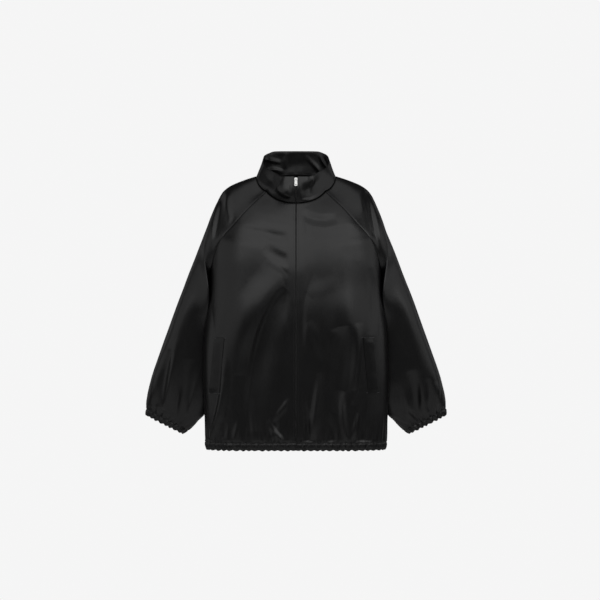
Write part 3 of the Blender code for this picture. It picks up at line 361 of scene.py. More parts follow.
# Rows of half a sleeve. The front half runs from its inner edge to the top line, and the back half returns.
def sleeveRow(up, back, count, shares=None):
    if up <= 1:
        return sleeveRing(cuffTop * (1 - up), back, count, shares)
    rise = up - 1
    seam = backSeam if back else frontSeam
    edge, _, leaving = seamPoint(seam, rise)
    top = readAt(shoulderLine, "x y z", rise)
    depth = readAt(sleeveRings, "backDepth" if back else "frontDepth", 0.0)[0]
    along = directionAt(shoulderLine, rise)
    over = np.array([0.0, 1.0 if back else -1.0, 0.0])
    over = unit(over - along * (over @ along))
    chord = np.linalg.norm(top - edge)
    firstChord = np.linalg.norm(readAt(shoulderLine, "x y z", 0) - readAt(seam, "x y z", 0))
    ring = ringHandle * depth / firstChord
    ease = min(rise / shoulderEase, 1) ** shoulderPower
    edgeEase = min(rise / squaring["innerFade"], 1)
    edgeOut = edge + leaving * chord * (ring * (1 - edgeEase) + shoulderHandles[0] * edgeEase)
    topOut = top + over * chord * (ring * (1 - ease) + shoulderHandles[1] * ease)
    inner, outer = (1 - easeStep(rise / squaring[fade]) for fade in ("innerFade", "outerFade"))
    near = 1 - easeStep((rise - squaring["leanFrom"]) / (squaring["leanTo"] - squaring["leanFrom"]))
    push = sleevePush(back, depth, inner, outer, 0.0, near)
    return bezierRow(edge, edgeOut, topOut, top, count, back, shares, push)


def sleeveRing(down, back, count, shares=None):
    values = readAt(sleeveRings, "innerX innerY innerZ outerX outerY outerZ frontDepth backDepth", down)
    inner, outer = values[0:3], values[3:6]
    depth = values[7] if back else -values[6]
    out = np.array([0.0, ringHandle * depth, 0.0])
    amount = easeStep((1 - down) / squaring["cuffFade"])
    lift = 0.0 if back else readAt(sleeveLift, "lift", down)[0]
    push = sleevePush(back, abs(depth), amount, amount, lift, amount)
    return bezierRow(inner, inner + out, outer + out, outer, count, back, shares, push)


# Folds and creases. Each runs along a bent line as seen from the front, from its first point past its middle
# one to its last. height above 0 is a ridge. It is highest at the share peak of its length, lean makes it
# steeper on one side, and sharp narrows its crest.
def foldsOf(*rows):  # in millimetres, and rows may leave out the usual peak, lean and sharp
    full = [row + (0.5, 0.0, 1.0)[len(row) - 9 :] for row in rows]
    metres = [(row[0], *[value / 1000 for value in row[1:9]], *row[9:]) for row in full]
    return tableOf("side x0 z0 x1 z1 x2 z2 width height peak lean sharp", *metres)


frontFolds = foldsOf(
    # the wearer's right
    (-1, 30, -262, 172, -392, 178, -665, 50, 9, 0.45, -0.2),
    (-1, 26, -312, 122, -400, 128, -690, 46, -11.5, 0.42, 0.6),
    (-1, 15, -346, 120, -378, 222, -390, 140, 10.8, 0.52),
    (-1, 12, -170, 50, -176, 105, -142, 24, -3.2, 0.52),
    (-1, 8, -150, 50, -146, 105, -112, 26, 1.2, 0.4),
    (-1, 10, -236, 45, -228, 84, -194, 22, -3.2),
    (-1, 12, -262, 45, -250, 80, -226, 18, 1, 0.4),
    (-1, 120, -150, 160, -340, 165, -540, 70, 8, 0.48),
    (-1, 196, -430, 180, -600, 234, -716, 18, 8, 0.62, 0.3, 1.4),
    (-1, 8, -596, 32, -622, 60, -664, 14, 2.6, 0.45, 0.2, 1.3),
    (-1, 74, -655, 64, -694, 30, -722, 13, 6, 0.65, 0, 1.2),
    (-1, 52, -640, 58, -680, 70, -722, 14, -4, 0.65),
    (-1, 150, -640, 156, -680, 168, -722, 12, 2.6, 0.7, 0, 1.2),
    (-1, 185, -650, 192, -690, 202, -722, 10, -2.4, 0.7),
    (-1, 120, -600, 118, -660, 112, -722, 16, 2.4, 0.6),
    # the wearer's left
    (1, 6, -100, 62, -136, 112, -118, 20, -4.6, 0.45),
    (1, 10, -128, 60, -160, 128, -146, 30, 1.3, 0.45),
    (1, 15, -362, 120, -398, 222, -394, 152, 12, 0.52),
    (1, 95, -150, 146, -400, 142, -580, 68, 10),
    (1, 116, -412, 138, -490, 96, -640, 36, -10, 0.34),
    (1, 168, -400, 166, -520, 152, -620, 17, 7.2, 0.45, 0.2, 1.1),
    (1, 66, -530, 52, -640, 40, -716, 20, 8, 0.62, -0.2, 1.2),
    (1, 14, -580, 24, -650, 38, -720, 14, -5, 0.62),
    (1, 126, -585, 120, -655, 138, -720, 14, 6.2, 0.6, 0, 1.3),
    (1, 186, -600, 170, -660, 180, -720, 13, -4.2, 0.6),
    (1, 166, -640, 158, -680, 152, -720, 12, 5.6, 0.6, 0, 1.3),
    (1, 202, -250, 212, -340, 202, -430, 18, -3.8),
    (1, 40, -330, 70, -300, 116, -290, 30, 1),
    (1, 30, -400, 60, -430, 74, -500, 22, 1.8),
    (1, 86, -620, 90, -670, 98, -720, 14, -3, 0.65),
)
backFolds = foldsOf(
    (1, 165, -240, 120, -380, 110, -540, 45, -10),
    (1, 20, -110, 30, -300, 15, -500, 50, 7.2),
    (1, 90, -600, 100, -670, 85, -722, 32, -4.5, 0.6),
    (1, 180, -540, 185, -640, 170, -722, 36, 5, 0.6),
    (-1, 170, -230, 135, -400, 140, -600, 45, -10),
    (-1, 60, -500, 50, -620, 70, -722, 36, 5, 0.6),
    (-1, 150, -620, 160, -680, 150, -722, 30, -4, 0.6),
    (1, 190, -220, 150, -250, 100, -250, 18, 3.4, 0.35, 0.2, 1.2),
    (-1, 192, -215, 150, -238, 90, -262, 18, 3.6, 0.35, -0.2, 1.2),
    (1, 205, -290, 175, -340, 150, -430, 16, 3.4, 0.35, 0.2, 1.2),
    (-1, 208, -285, 180, -350, 160, -420, 16, 3.2, 0.35, 0, 1.2),
    (1, 10, -40, 50, -60, 90, -60, 18, -3, 0.45),
    (-1, 4, -52, 40, -78, 85, -86, 18, -2.6, 0.45),
    (-1, 20, -300, 60, -340, 80, -440, 26, 2.8),
    (1, 50, -560, 44, -640, 50, -718, 16, 4, 0.65, 0, 1.3),
    (1, 130, -600, 134, -660, 128, -718, 15, -4, 0.65),
    (-1, 100, -580, 104, -650, 112, -718, 15, 4.2, 0.65, 0, 1.3),
    (-1, 190, -600, 196, -660, 204, -718, 14, 3.4, 0.65, 0, 1.3),
    (-1, 20, -620, 14, -670, 18, -718, 13, -3.2, 0.65),
)
sleeveFolds = foldsOf(
    (-1, 203, -46, 214, -120, 224, -215, 17, -7.5, 0.35, 0.3),
    (-1, 186, -50, 186, -100, 176, -150, 16, 4, 0.45),
    (-1, 325, -440, 344, -560, 362, -640, 20, 8.5, 0.55, 0.4, 1.3),
    (-1, 345, -470, 368, -560, 376, -630, 24, -9.5),
    (-1, 285, -500, 300, -600, 315, -680, 30, -8, 0.55),
    (-1, 276, -560, 282, -610, 302, -672, 10, 3, 0.6, 0, 1.2),
    (-1, 318, -570, 324, -620, 332, -668, 10, 3, 0.6, 0, 1.2),
    (1, 190, -40, 212, -130, 227, -240, 18, -7, 0.45, 0.3),
    (1, 190, -60, 200, -110, 204, -160, 12, 3.6),
    (1, 386, -560, 392, -600, 384, -640, 12, 4, 0.5, 0.3, 1.2),
    (1, 315, -530, 328, -600, 330, -668, 24, -8.5, 0.55),
    (1, 340, -545, 346, -600, 345, -655, 12, 3.6, 0.55, 0, 1.2),
    (1, 362, -550, 368, -600, 366, -646, 15, -6.5, 0.55),
    (1, 290, -560, 300, -620, 306, -674, 12, 2.6, 0.6, 0, 1.2),
)
sleeveBackFolds = foldsOf(
    (-1, 250, -230, 290, -360, 300, -480, 36, -6),
    (-1, 330, -520, 350, -600, 352, -655, 30, 5),
    (1, 255, -240, 285, -340, 305, -470, 36, -6),
    (1, 335, -530, 352, -600, 358, -655, 30, 5),
    (1, 215, -80, 225, -150, 222, -230, 20, -5, 0.45),
    (-1, 210, -75, 222, -150, 226, -240, 20, -4.6, 0.45),
    (1, 250, -330, 290, -370, 330, -370, 16, 3.6, 0.35, 0, 1.2),
    (-1, 252, -340, 290, -390, 335, -400, 16, 3.4, 0.35, 0, 1.2),
    (1, 290, -560, 304, -620, 312, -672, 13, 3.2, 0.6, 0, 1.2),
    (-1, 296, -550, 306, -615, 318, -668, 13, 3.4, 0.6, 0, 1.2),
)


def foldOffset(folds, across, up):
    shape = across.shape
    across, up = across.ravel(), up.ravel()
    moved = np.zeros(len(across))
    steps = 40
    t = np.linspace(0, 1, steps + 1)[:, None]
    for i in range(len(folds["side"])):
        side, width, lean = folds["side"][i], folds["width"][i], folds["lean"][i]
        p0, p1, p2 = (np.array([side * folds[f"x{k}"][i], folds[f"z{k}"][i]]) for k in range(3))
        line = (1 - t) ** 2 * p0 + 2 * (1 - t) * t * p1 + t**2 * p2
        low, high = line.min(axis=0) - 2 * width, line.max(axis=0) + 2 * width
        near = np.flatnonzero((across > low[0]) & (across < high[0]) & (up > low[1]) & (up < high[1]))
        if not len(near):
            continue
        a, b = across[near], up[near]
        nearest = ((a[:, None] - line[:, 0]) ** 2 + (b[:, None] - line[:, 1]) ** 2).argmin(axis=1)
        tangent = np.gradient(line, axis=0)
        stride = np.linalg.norm(tangent, axis=1)
        tangent = tangent / stride[:, None]
        da, db = a - line[nearest, 0], b - line[nearest, 1]
        ahead = da * tangent[nearest, 0] + db * tangent[nearest, 1]
        aside = (da * tangent[nearest, 1] - db * tangent[nearest, 0]) * side
        along = np.clip((nearest + ahead / stride[nearest]) / steps, 0, 1)
        along = along ** (math.log(0.5) / math.log(folds["peak"][i]))
        beyond = np.maximum(np.abs(ahead) - stride[nearest], 0)
        reach = np.hypot(aside / (width * (1 + lean * np.sign(aside))), beyond / width)
        profile = ((1 + np.cos(math.pi * np.clip(reach, 0, 1))) / 2) ** folds["sharp"][i]
        moved[near] += folds["height"][i] * np.sin(math.pi * along) ** 0.75 * profile
    return moved.reshape(shape)


def softNoise(points, size, seed):  # a smooth field from -1 to 1 whose lumps are about size across
    flat = points.reshape(-1, 3) / size + seed * 7.3
    return np.array([noise.noise(p) for p in flat.tolist()]).reshape(points.shape[:-1])


# Gathers follow the same uneven heights as the solids, with sharper valleys, and wander a little.
gathers = {
    "height": 0.0022,
    "uneven": (0.55, 1.25),
    "cusp": 0.5,
    "wander": 0.12,
    "wanderWaves": 3.7,
    "fade": (0.016, 0.05),
    "broad": 0.003,
    "broadReach": 0.075,
    "broadFrom": 0.008,
}


def gatherWave(shares, waves, seed):
    heights = np.random.default_rng(seed).uniform(*gathers["uneven"], waves + 1)
    drift = np.sin(2 * math.pi * (shares * waves / gathers["wanderWaves"] + seed))
    phase = shares * waves + gathers["wander"] * np.sin(math.pi * shares) * drift
    tall = np.interp(phase, np.arange(waves + 1), heights)
    soft = np.sin(2 * math.pi * phase)
    cusped = 2 * np.abs(np.sin(math.pi * phase + math.pi / 4)) - 1
    return gathers["height"] * tall * (soft * (1 - gathers["cusp"]) + cusped * gathers["cusp"])


def gatherRise(shares, heights, waves, seed):  # the gathers above a casing, dying away at uneven heights
    random = np.random.default_rng(seed + 100)
    fades = random.uniform(*gathers["fade"], waves + 1)
    fade = np.interp(shares * waves, np.arange(waves + 1), fades)
    fine = gatherWave(shares, waves, seed) * np.exp(-((heights / fade) ** 1.4))
    knots = random.uniform(-1, 1, waves // 2 + 2)
    knots[[0, -1]] = 0
    place = shares * (len(knots) - 1)
    broad = gathers["broad"] * smoothCurve(np.arange(len(knots), dtype=float), knots, place)
    uneven = 0.7 + 0.6 * np.interp(place, np.arange(len(knots)), random.uniform(0, 1, len(knots)))
    broad *= np.exp(-((heights / (gathers["broadReach"] * uneven)) ** 1.6))
    return fine + broad * easeStep(heights / gathers["broadFrom"])


# Mesh helpers. A grid is rows of points, and every row has the same number of columns.
def gridNormals(grid, flip):
    normals = np.cross(np.gradient(grid, axis=1), np.gradient(grid, axis=0))
    return unitRows(normals * (-1 if flip else 1))


def gridFaces(rows, columns, flip=False, ring=False):
    number = np.arange(rows * columns).reshape(rows, columns)
    if ring:
        number = np.concatenate([number, number[:, :1]], axis=1)
    corners = [number[:-1, :-1], number[:-1, 1:], number[1:, 1:], number[1:, :-1]]
    return np.stack(corners[::-1] if flip else corners, axis=2).reshape(-1, 4)


def newPiece(name, points, faces):
    mesh = bpy.data.meshes.new(name)
    mesh.from_pydata(points.tolist(), [], faces)
    mesh.shade_smooth()
    return placed(name, mesh)


def gridMesh(name, grid, flip, uv, ring=False):
    faces = gridFaces(*grid.shape[:2], flip, ring)
    piece = newPiece(name, grid.reshape(-1, 3), faces.tolist())
    layer = piece.data.uv_layers.new(name="grain")
    layer.data.foreach_set("uv", uv.reshape(-1, 2)[faces.ravel()].astype(np.float32).ravel())
    return piece


def addThickness(piece, thick, finish, reverse):
    piece.data.materials.append(finish)
    piece.data.materials.append(reverse)
    shell = piece.modifiers.new("thickness", "SOLIDIFY")
    shell.thickness = thick
    shell.offset = -1.0
    shell.material_offset = 1
    shell.material_offset_rim = 0


def joinedMesh(name, shapes, finish):  # shapes are (points, faces) pairs
    points, faces, start = [], [], 0
    for shapePoints, shapeFaces in shapes:
        points.append(shapePoints)
        faces += [tuple(start + i for i in face) for face in shapeFaces]
        start += len(shapePoints)
    piece = newPiece(name, np.vstack(points), faces)
    piece.data.materials.append(finish)
    return piece


# Materials. The groups give only masks, values and normals, and each material sets its own shader.
def setInputs(tree, node, inputs):  # each input takes a value, or the output that feeds it
    for key, value in inputs.items():
        if isinstance(value, bpy.types.NodeSocket):
            tree.links.new(value, node.inputs[key])
        else:
            node.inputs[key].default_value = value


def addNode(tree, kind, inputs={}):
    node = tree.nodes.new("ShaderNode" + kind)
    setInputs(tree, node, inputs)
    return node


def mathNode(tree, operation, first, second=0.0):
    node = addNode(tree, "Math", {0: first, 1: second})
    node.operation = operation
    return node.outputs[0]


def useGroup(tree, group, values):
    node = addNode(tree, "Group")
    node.node_tree = group
    setInputs(tree, node, values)
    return node.outputs


def newGroup(name, values, outputs):
    group = bpy.data.node_groups.new(name, "ShaderNodeTree")
    for socketName, value in values.items():
        socket = group.interface.new_socket(socketName, in_out="INPUT", socket_type="NodeSocketFloat")
        socket.default_value = value
    for socketName in outputs:
        group.interface.new_socket(socketName, in_out="OUTPUT", socket_type="NodeSocketFloat")
    return group, group.nodes.new("NodeGroupInput").outputs, group.nodes.new("NodeGroupOutput")


weave = {"shift": 0.4, "dip": 0.35, "crumpleDepth": 0.0012, "threadDepth": 0.0001}


def threadGroup():  # crossing threads: Height for bump, and a mask that is bright on the long floats
    values = {"Threads": 2600.0, "Float Length": 5.0}
    group, given, result = newGroup("threadWeave", values, ["Height", "Floats"])
    place = addNode(group, "UVMap")
    place.uv_map = "grain"
    split = addNode(group, "SeparateXYZ", {0: place.outputs["UV"]}).outputs
    across = mathNode(group, "MULTIPLY", split[0], given["Threads"])
    perFloat = mathNode(group, "DIVIDE", given["Threads"], given["Float Length"])
    along = mathNode(group, "MULTIPLY", split[1], perFloat)
    shift = mathNode(group, "MULTIPLY", mathNode(group, "FLOOR", across), weave["shift"])
    halfTurns = [
        mathNode(group, "MULTIPLY", mathNode(group, "FRACT", run), math.pi)
        for run in (across, mathNode(group, "ADD", along, shift))
    ]
    threadRound, floatRound = (mathNode(group, "SINE", turn) for turn in halfTurns)
    dip = mathNode(group, "POWER", floatRound, weave["dip"])
    setInputs(group, result, {"Height": mathNode(group, "MULTIPLY", threadRound, dip), "Floats": dip})
    return group


def unevenGroup():  # slow cloudy variation and fine crumple, for roughness, colour and bump
    values = {"Cloud Size": 9.0, "Crumple Size": 70.0}
    group, given, result = newGroup("clothUneven", values, ["Cloud", "Crumple"])
    place = addNode(group, "TexCoord").outputs["Object"]
    for output, detail in (("Cloud", 2.0), ("Crumple", 3.0)):
        values = {"Vector": place, "Scale": given[output + " Size"], "Detail": detail, "Roughness": 0.5}
        setInputs(group, result, {output: addNode(group, "TexNoise", values).outputs["Fac"]})
    return group


threadWeave = threadGroup()
clothUneven = unevenGroup()


def mappedRange(tree, value, low, high):
    return addNode(tree, "MapRange", {"Value": value, "To Min": low, "To Max": high}).outputs["Result"]


def bumped(tree, height, strength, distance):
    return addNode(tree, "Bump", {"Height": height, "Strength": strength, "Distance": distance})


def startMaterial(look):  # the material, its nodes, its uneven fields and its cloudy tint
    made = bpy.data.materials.new(look["name"])
    made.use_nodes = True
    made.diffuse_color = (*look["light"], 1.0)
    tree = made.node_tree
    scales = {"Cloud Size": look["cloudSize"], "Crumple Size": look["crumpleSize"]}
    uneven = useGroup(tree, clothUneven, scales)
    tint = addNode(tree, "Mix")
    tint.data_type = "RGBA"
    ends = {"Factor": uneven["Cloud"], "A": (*look["dark"], 1.0), "B": (*look["light"], 1.0)}
    setInputs(tree, tint, ends)
    return made, tree, uneven, tint.outputs["Result"]


def clothMaterial(look):
    made, tree, uneven, tint = startMaterial(look)
    woven = useGroup(tree, threadWeave, {"Threads": look["threads"], "Float Length": look["floats"]})
    floats = mathNode(tree, "MULTIPLY", woven["Floats"], -look["floatShine"])
    crumple = bumped(tree, uneven["Crumple"], look["crumple"], weave["crumpleDepth"])
    threads = bumped(tree, woven["Height"], look["bump"], weave["threadDepth"])
    setInputs(tree, threads, {"Normal": crumple.outputs["Normal"]})
    finish = {
        "Base Color": tint,
        "Roughness": mathNode(tree, "ADD", mappedRange(tree, uneven["Cloud"], *look["roughness"]), floats),
        "Normal": threads.outputs["Normal"],
        "Specular IOR Level": look["specular"],
        "Sheen Weight": look["sheen"],
        "Sheen Roughness": 0.4,
    }
    setInputs(tree, tree.nodes["Principled BSDF"], finish)
    return made


satinLook = {
    "name": "blackSatin",
    "dark": (0.0024, 0.0024, 0.0026),
    "light": (0.0044, 0.0044, 0.0047),
    "roughness": (0.37, 0.43),
    "threads": 2600.0,
    "floats": 5.0,
    "floatShine": 0.04,
    "cloudSize": 9.0,
    "crumpleSize": 70.0,
    "crumple": 0.12,
    "bump": 0.15,
    "specular": 0.55,
    "sheen": 0.0,
}
reverseLook = {
    **satinLook,
    "name": "satinReverse",
    "roughness": (0.55, 0.65),
    "specular": 0.4,
    "floats": 1.6,
}
weltLook = {**satinLook, "name": "satinAcrossGrain", "specular": 0.42}
tapeLook = {
    **satinLook,
    "name": "zipTapeWeave",
    "dark": (0.006, 0.006, 0.006),
    "light": (0.012, 0.012, 0.012),
    "roughness": (0.62, 0.74),
    "threads": 1100.0,
    "floats": 2.0,
    "crumple": 0.05,
    "bump": 0.5,
    "specular": 0.35,
    "sheen": 0.05,
}
clothLooks = (satinLook, reverseLook, weltLook, tapeLook)
satin, satinReverse, satinAcross, tapeWeave = map(clothMaterial, clothLooks)


def hardMaterial(look):  # metal, plastic and thread, with fine scratches
    made, tree, uneven, tint = startMaterial(look)
    finish = {
        "Base Color": tint,
        "Metallic": look["metallic"],
        "Roughness": mappedRange(tree, uneven["Crumple"], *look["roughness"]),
        "Normal": bumped(tree, uneven["Crumple"], look["bump"], weave["threadDepth"]).outputs["Normal"],
    }
    setInputs(tree, tree.nodes["Principled BSDF"], finish)
    return made


nickelLook = {
    "name": "brushedNickel",
    "metallic": 1.0,
    "dark": (0.62, 0.62, 0.61),
    "light": (0.82, 0.82, 0.8),
    "roughness": (0.2, 0.34),
    "cloudSize": 120.0,
    "crumpleSize": 900.0,
    "bump": 0.12,
}
# the coil's own black nylon colour, lightened as a painted highlight so it shows as a bright line along the
# zip
coilLook = {
    **nickelLook,
    "name": "zipCoilBlackAndPaintedHighlight",
    "metallic": 0.0,
    "dark": (0.02, 0.02, 0.02),
    "light": (0.045, 0.045, 0.045),
    "roughness": (0.28, 0.4),
}
threadLook = {
    **coilLook,
    "name": "sewingThread",
    "dark": (0.01, 0.01, 0.01),
    "light": (0.026, 0.026, 0.027),
    "roughness": (0.34, 0.46),
    "crumpleSize": 2400.0,
    "bump": 0.4,
}
# the bar tacks are the same black thread, painted lighter as a painted highlight at the welts' ends
tackPaintedHighlightLook = {
    **threadLook,
    "name": "barTackThreadPaintedHighlight",
    "dark": (0.045, 0.045, 0.047),
    "light": (0.085, 0.085, 0.088),
}
hardLooks = (nickelLook, coilLook, threadLook, tackPaintedHighlightLook)
nickel, coilBlackAndPaintedHighlight, threadBlack, tackThreadPaintedHighlight = map(hardMaterial, hardLooks)
print("materials ready")

# Panels. The rows above the underarm are shared by the body and the sleeves, so the raglan seams meet.
panelPlan = {
    "lowerRows": 118,
    "upperRows": 96,
    "rowEase": 1.12,  # above 1, the rows are closer together near the hem
    "columns": {"bodyFront": 104, "bodyBack": 92, "sleeveFront": 62, "sleeveBack": 62},
    "ripple": 0.0011,  # slow swells of the whole surface
    "rippleSize": 0.085,
    "dimple": 0.00035,
    "dimpleSize": 0.028,
    "seamPuff": 0.0007,  # how far a panel stands above its seams
    "seamReach": 0.0022,
    "pucker": 0.00022,
    "puckerPitch": 0.0085,
    "puckerReach": 0.009,
    "zipRoll": 0.0005,  # how far the front edges turn in beside the zip
    "rollReach": 0.0011,
    "zipFlat": (0.012, 0.03),  # folds keep away from the zip, where its tape stiffens the front
    "seamFade": 0.022,  # folds die away this close to a seam, and to the collar
    "topFade": 0.014,
    "gatherFade": 0.02,  # gathers die away this close to the zip
    "bendReach": 0.3,
    "bendSeam": 0.035,
    "bendPasses": 160,
}
foldTables = {
    "bodyFront": frontFolds,
    "bodyBack": backFolds,
    "sleeveFront": sleeveFolds,
    "sleeveBack": sleeveBackFolds,
}


def panelUps():
    lower = np.linspace(0, 1, panelPlan["lowerRows"]) ** panelPlan["rowEase"]
    return np.concatenate([lower, 1 + np.linspace(0, 1, panelPlan["upperRows"] + 1)[1:]])


def panelGrid(kind):  # the plain +X half, with each row's shares and length
    back = kind.endswith("Back")
    rowAt = bodyRow if kind.startswith("body") else sleeveRow
    made = [rowAt(up, back, panelPlan["columns"][kind]) for up in panelUps()]
    rows, shares, lengths = (np.array(values) for values in zip(*made))
    lengths = lengths[:, None]
    return easedRows(rows, shares * lengths, (1 - shares) * lengths), shares, lengths


def easedRows(rows, first, last):  # rounds off the bend at the underarm, away from the seams
    nearby = np.exp(-(((panelUps() - 1) / panelPlan["bendReach"]) ** 2))[1:-1, None, None]
    clear = easeStep(first / panelPlan["bendSeam"]) * easeStep(last / panelPlan["bendSeam"])
    eased = rows.copy()
    for _ in range(panelPlan["bendPasses"]):
        eased[1:-1] += (eased[:-2] + eased[2:] - 2 * eased[1:-1]) * 0.25 * nearby
    return rows + (eased - rows) * clear[:, :, None]


def seamRise(distance, heights, seed):  # a panel puffs up beside its seam, which puckers a little
    puff = 1 - np.exp(-((distance / panelPlan["seamReach"]) ** 2))
    ripple = np.sin(2 * math.pi * heights / panelPlan["puckerPitch"] + 2.1 * np.sin(heights * 61 + seed))
    fade = np.exp(-distance / panelPlan["puckerReach"]) * puff
    return panelPlan["seamPuff"] * puff - panelPlan["seamPuff"] + panelPlan["pucker"] * ripple * fade


def zipRoll(distance):
    return panelPlan["zipRoll"] * np.exp(-((distance / panelPlan["rollReach"]) ** 2))


def panelOffset(kind, side, grid, shares, lengths, heights):
    first, last = shares * lengths, (1 - shares) * lengths
    seed = gatherSeeds[kind] + (side > 0)
    besideZip = kind == "bodyFront"
    near, whole = panelPlan["zipFlat"] if besideZip else (0.0, panelPlan["seamFade"])
    sealed = easeStep((first - near) / (whole - near)) * easeStep(last / panelPlan["seamFade"])
    topDistance = heights[-1] - heights
    sealed *= easeStep(topDistance / panelPlan["topFade"])
    swell = softNoise(grid, panelPlan["rippleSize"], seed) * panelPlan["ripple"]
    dimples = softNoise(grid * (1, 1, 0.6), panelPlan["dimpleSize"], seed + 5) * panelPlan["dimple"]
    offset = (foldOffset(foldTables[kind], grid[:, :, 0], grid[:, :, 2]) + swell + dimples) * sealed
    waves = hemWaves if kind.startswith("body") else cuffWaves
    gathered = gatherRise(shares, heights, waves, seed)
    offset += gathered * (easeStep(first / panelPlan["gatherFade"]) if besideZip else 1)
    offset += panelPlan["seamPuff"]
    offset += -zipRoll(first) if besideZip else seamRise(first, heights, seed)
    offset += seamRise(last, heights, seed + 3)
    offset += seamRise(topDistance, first, seed + 6)
    return offset


def buildHalf(kind, side):
    grid, shares, lengths = plainGrids[kind]
    grid = grid * (side, 1, 1)
    heights = runAlong(grid)
    offset = panelOffset(kind, side, grid, shares, lengths, heights)
    moved = grid + gridNormals(grid, side < 0) * offset[:, :, None]
    return moved, np.stack([(shares - 0.5) * lengths, heights], axis=2)


def declare(piece, slot, *nodes):
    if nodes:
        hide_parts(*nodes)
    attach(piece, "jacket")


def declareCloth(piece, node):
    declare(piece, "satin", node)


def clothPiece(name, node, grid, uv, flip):
    piece = gridMesh(name, grid, flip, uv)
    addThickness(piece, clothThick, satin, satinReverse)
    declareCloth(piece, node)


skins = {}
plainGrids = {kind: panelGrid(kind) for kind in foldTables}
titles = {"bodyFront": "front", "sleeveFront": "sleeve_front", "sleeveBack": "sleeve_back"}
for side, word in sides:
    for kind, title in titles.items():
        grid, uv = buildHalf(kind, side)
        clothPiece(f"{title}_panel_{word}", f"{title}_{word}", grid, uv, side < 0)
        skins[kind, side] = grid
    print(f"panels of the {word} side ready")

(leftBack, leftUv), (rightBack, rightUv) = (buildHalf("bodyBack", side) for side in (1, -1))
spine = (leftBack[:, -1:] + rightBack[:, -1:]) / 2 * (0, 1, 1)
backGrid = np.concatenate([leftBack[:, :-1], spine, rightBack[:, -2::-1]], axis=1)
width = plainGrids["bodyBack"][2][:, :, None] * (1, 0)
backUv = np.concatenate([leftUv, (rightUv * (-1, 1) + width)[:, -2::-1]], axis=1)
clothPiece("back_panel", "back", backGrid, backUv, False)
print("back ready")

# Casings: cloth turned up over elastic, doubled, puffed between its stitching and its fold, and crinkled.
casingPlan = {
    "perWave": 12,
    "puff": 0.002,
    "doubled": 0.003,
    "turnUp": 0.07,  # how far up the fold at the foot reaches
    "innerWave": 0.8,
    "waver": 0.0012,  # how far the foot's edge rises and falls with the gathers
    "waverTop": 0.3,
    "crinkle": 0.0015,
    "crinkleSize": 0.008,
    "fineShare": 0.35,
    "fineSize": 0.0035,
    "slant": 0.004,
    "slantSize": 0.021,
    "squash": 0.35,  # crinkles run longer up the casing than round it
    "stitchDown": 0.0016,
    "stitchIn": 0.0008,
    "stitchReach": 0.0011,
    "uvStep": 0.0018,
}


def casingRing(parts, rowAt):  # foot and top points round a casing, and its gathers
    feet, tops, waves = [], [], []
    for kind, side, count, seed in parts:
        shares = np.linspace(0, 1, count * casingPlan["perWave"] + 1)
        foot, top = (row * (side, 1, 1) for row in rowAt(kind, shares))
        order = slice(None, None, side)
        for made, values in ((feet, foot), (tops, top), (waves, gatherWave(shares, count, seed))):
            made.append(values[order][:-1])
    return feet, tops, waves


def casingSection():  # each row's depth and level, as shares of the doubled cloth and the height
    turnUp = casingPlan["turnUp"]
    rows = [(0.0, 1.0, 1.0)]
    rows += [(0.0, level, 1.0) for level in np.linspace(0.97, 0.1, 13)]
    turns = np.linspace(0, math.pi, 8)
    rows += [(0.5 * math.cos(a) - 0.5, turnUp - turnUp * math.sin(a), 1.0) for a in turns]
    rows += [(-1.0, level, casingPlan["innerWave"]) for level in np.linspace(0.14, 0.94, 5)]
    return rows


def buildCasing(name, node, kind, ring, flip, seed):
    plan = casingPlan
    foot, top, wave = ring
    closed = kind == "cuffCasing"
    up = top - foot
    height = np.linalg.norm(up, axis=1)
    along = np.roll(top, -1, axis=0) - np.roll(top, 1, axis=0) if closed else np.gradient(top, axis=0)
    out = unitRows(np.cross(along, up) * (-1 if flip else 1))
    arc = runAlong(top)
    slant = softNoise(np.stack([arc, arc * 0, arc * 0], axis=1), plan["slantSize"], seed)
    rows, uvs = [], []
    for depth, level, share in casingSection():
        outside = depth > -0.5
        outer = max(depth + 1, 0) if level > 0.05 else 0.6
        puff = plan["puff"] * math.sin(math.pi * min(level, 1)) ** 0.7 * outside
        across = arc + slant * level * plan["slant"]
        place = np.stack([across, height * level * plan["squash"], arc * 0 + depth], axis=1)
        crinkle = softNoise(place, plan["crinkleSize"], seed + 3) * plan["crinkle"]
        fine = softNoise(place * (1, 3, 1), plan["fineSize"], seed + 9)
        crinkle += fine * plan["crinkle"] * plan["fineShare"]
        below = (1 - level) * height
        stitched = plan["stitchIn"] * np.exp(-(((below - plan["stitchDown"]) / plan["stitchReach"]) ** 2))
        away = plan["doubled"] * depth + wave * share + puff + crinkle * easeStep((1 - level) * 8) * outer
        away -= stitched * outside
        waver = wave / gathers["height"] * plan["waver"] * (1 - easeStep(level / plan["waverTop"]))
        rise = height * level - waver
        rows.append(foot + up / height[:, None] * rise[:, None] + out * away[:, None])
        uvs.append(np.stack([arc, arc * 0 + len(uvs) * plan["uvStep"]], axis=1))
    grid = np.array(rows)[::-1]
    piece = gridMesh(name, grid, flip, np.array(uvs)[::-1], closed)
    piece.data.materials.append(satin)
    declareCloth(piece, node)
    return grid


def hemRow(kind, shares):
    low = (hemZ - hemTop) / (underarmZ - hemTop)
    return [bodyRow(up, kind.endswith("Back"), 0, shares)[0] for up in (low, 0.0)]


def cuffRow(kind, shares):
    return [sleeveRing(down, kind.endswith("Back"), 0, shares)[0] for down in (1.0, cuffTop)]


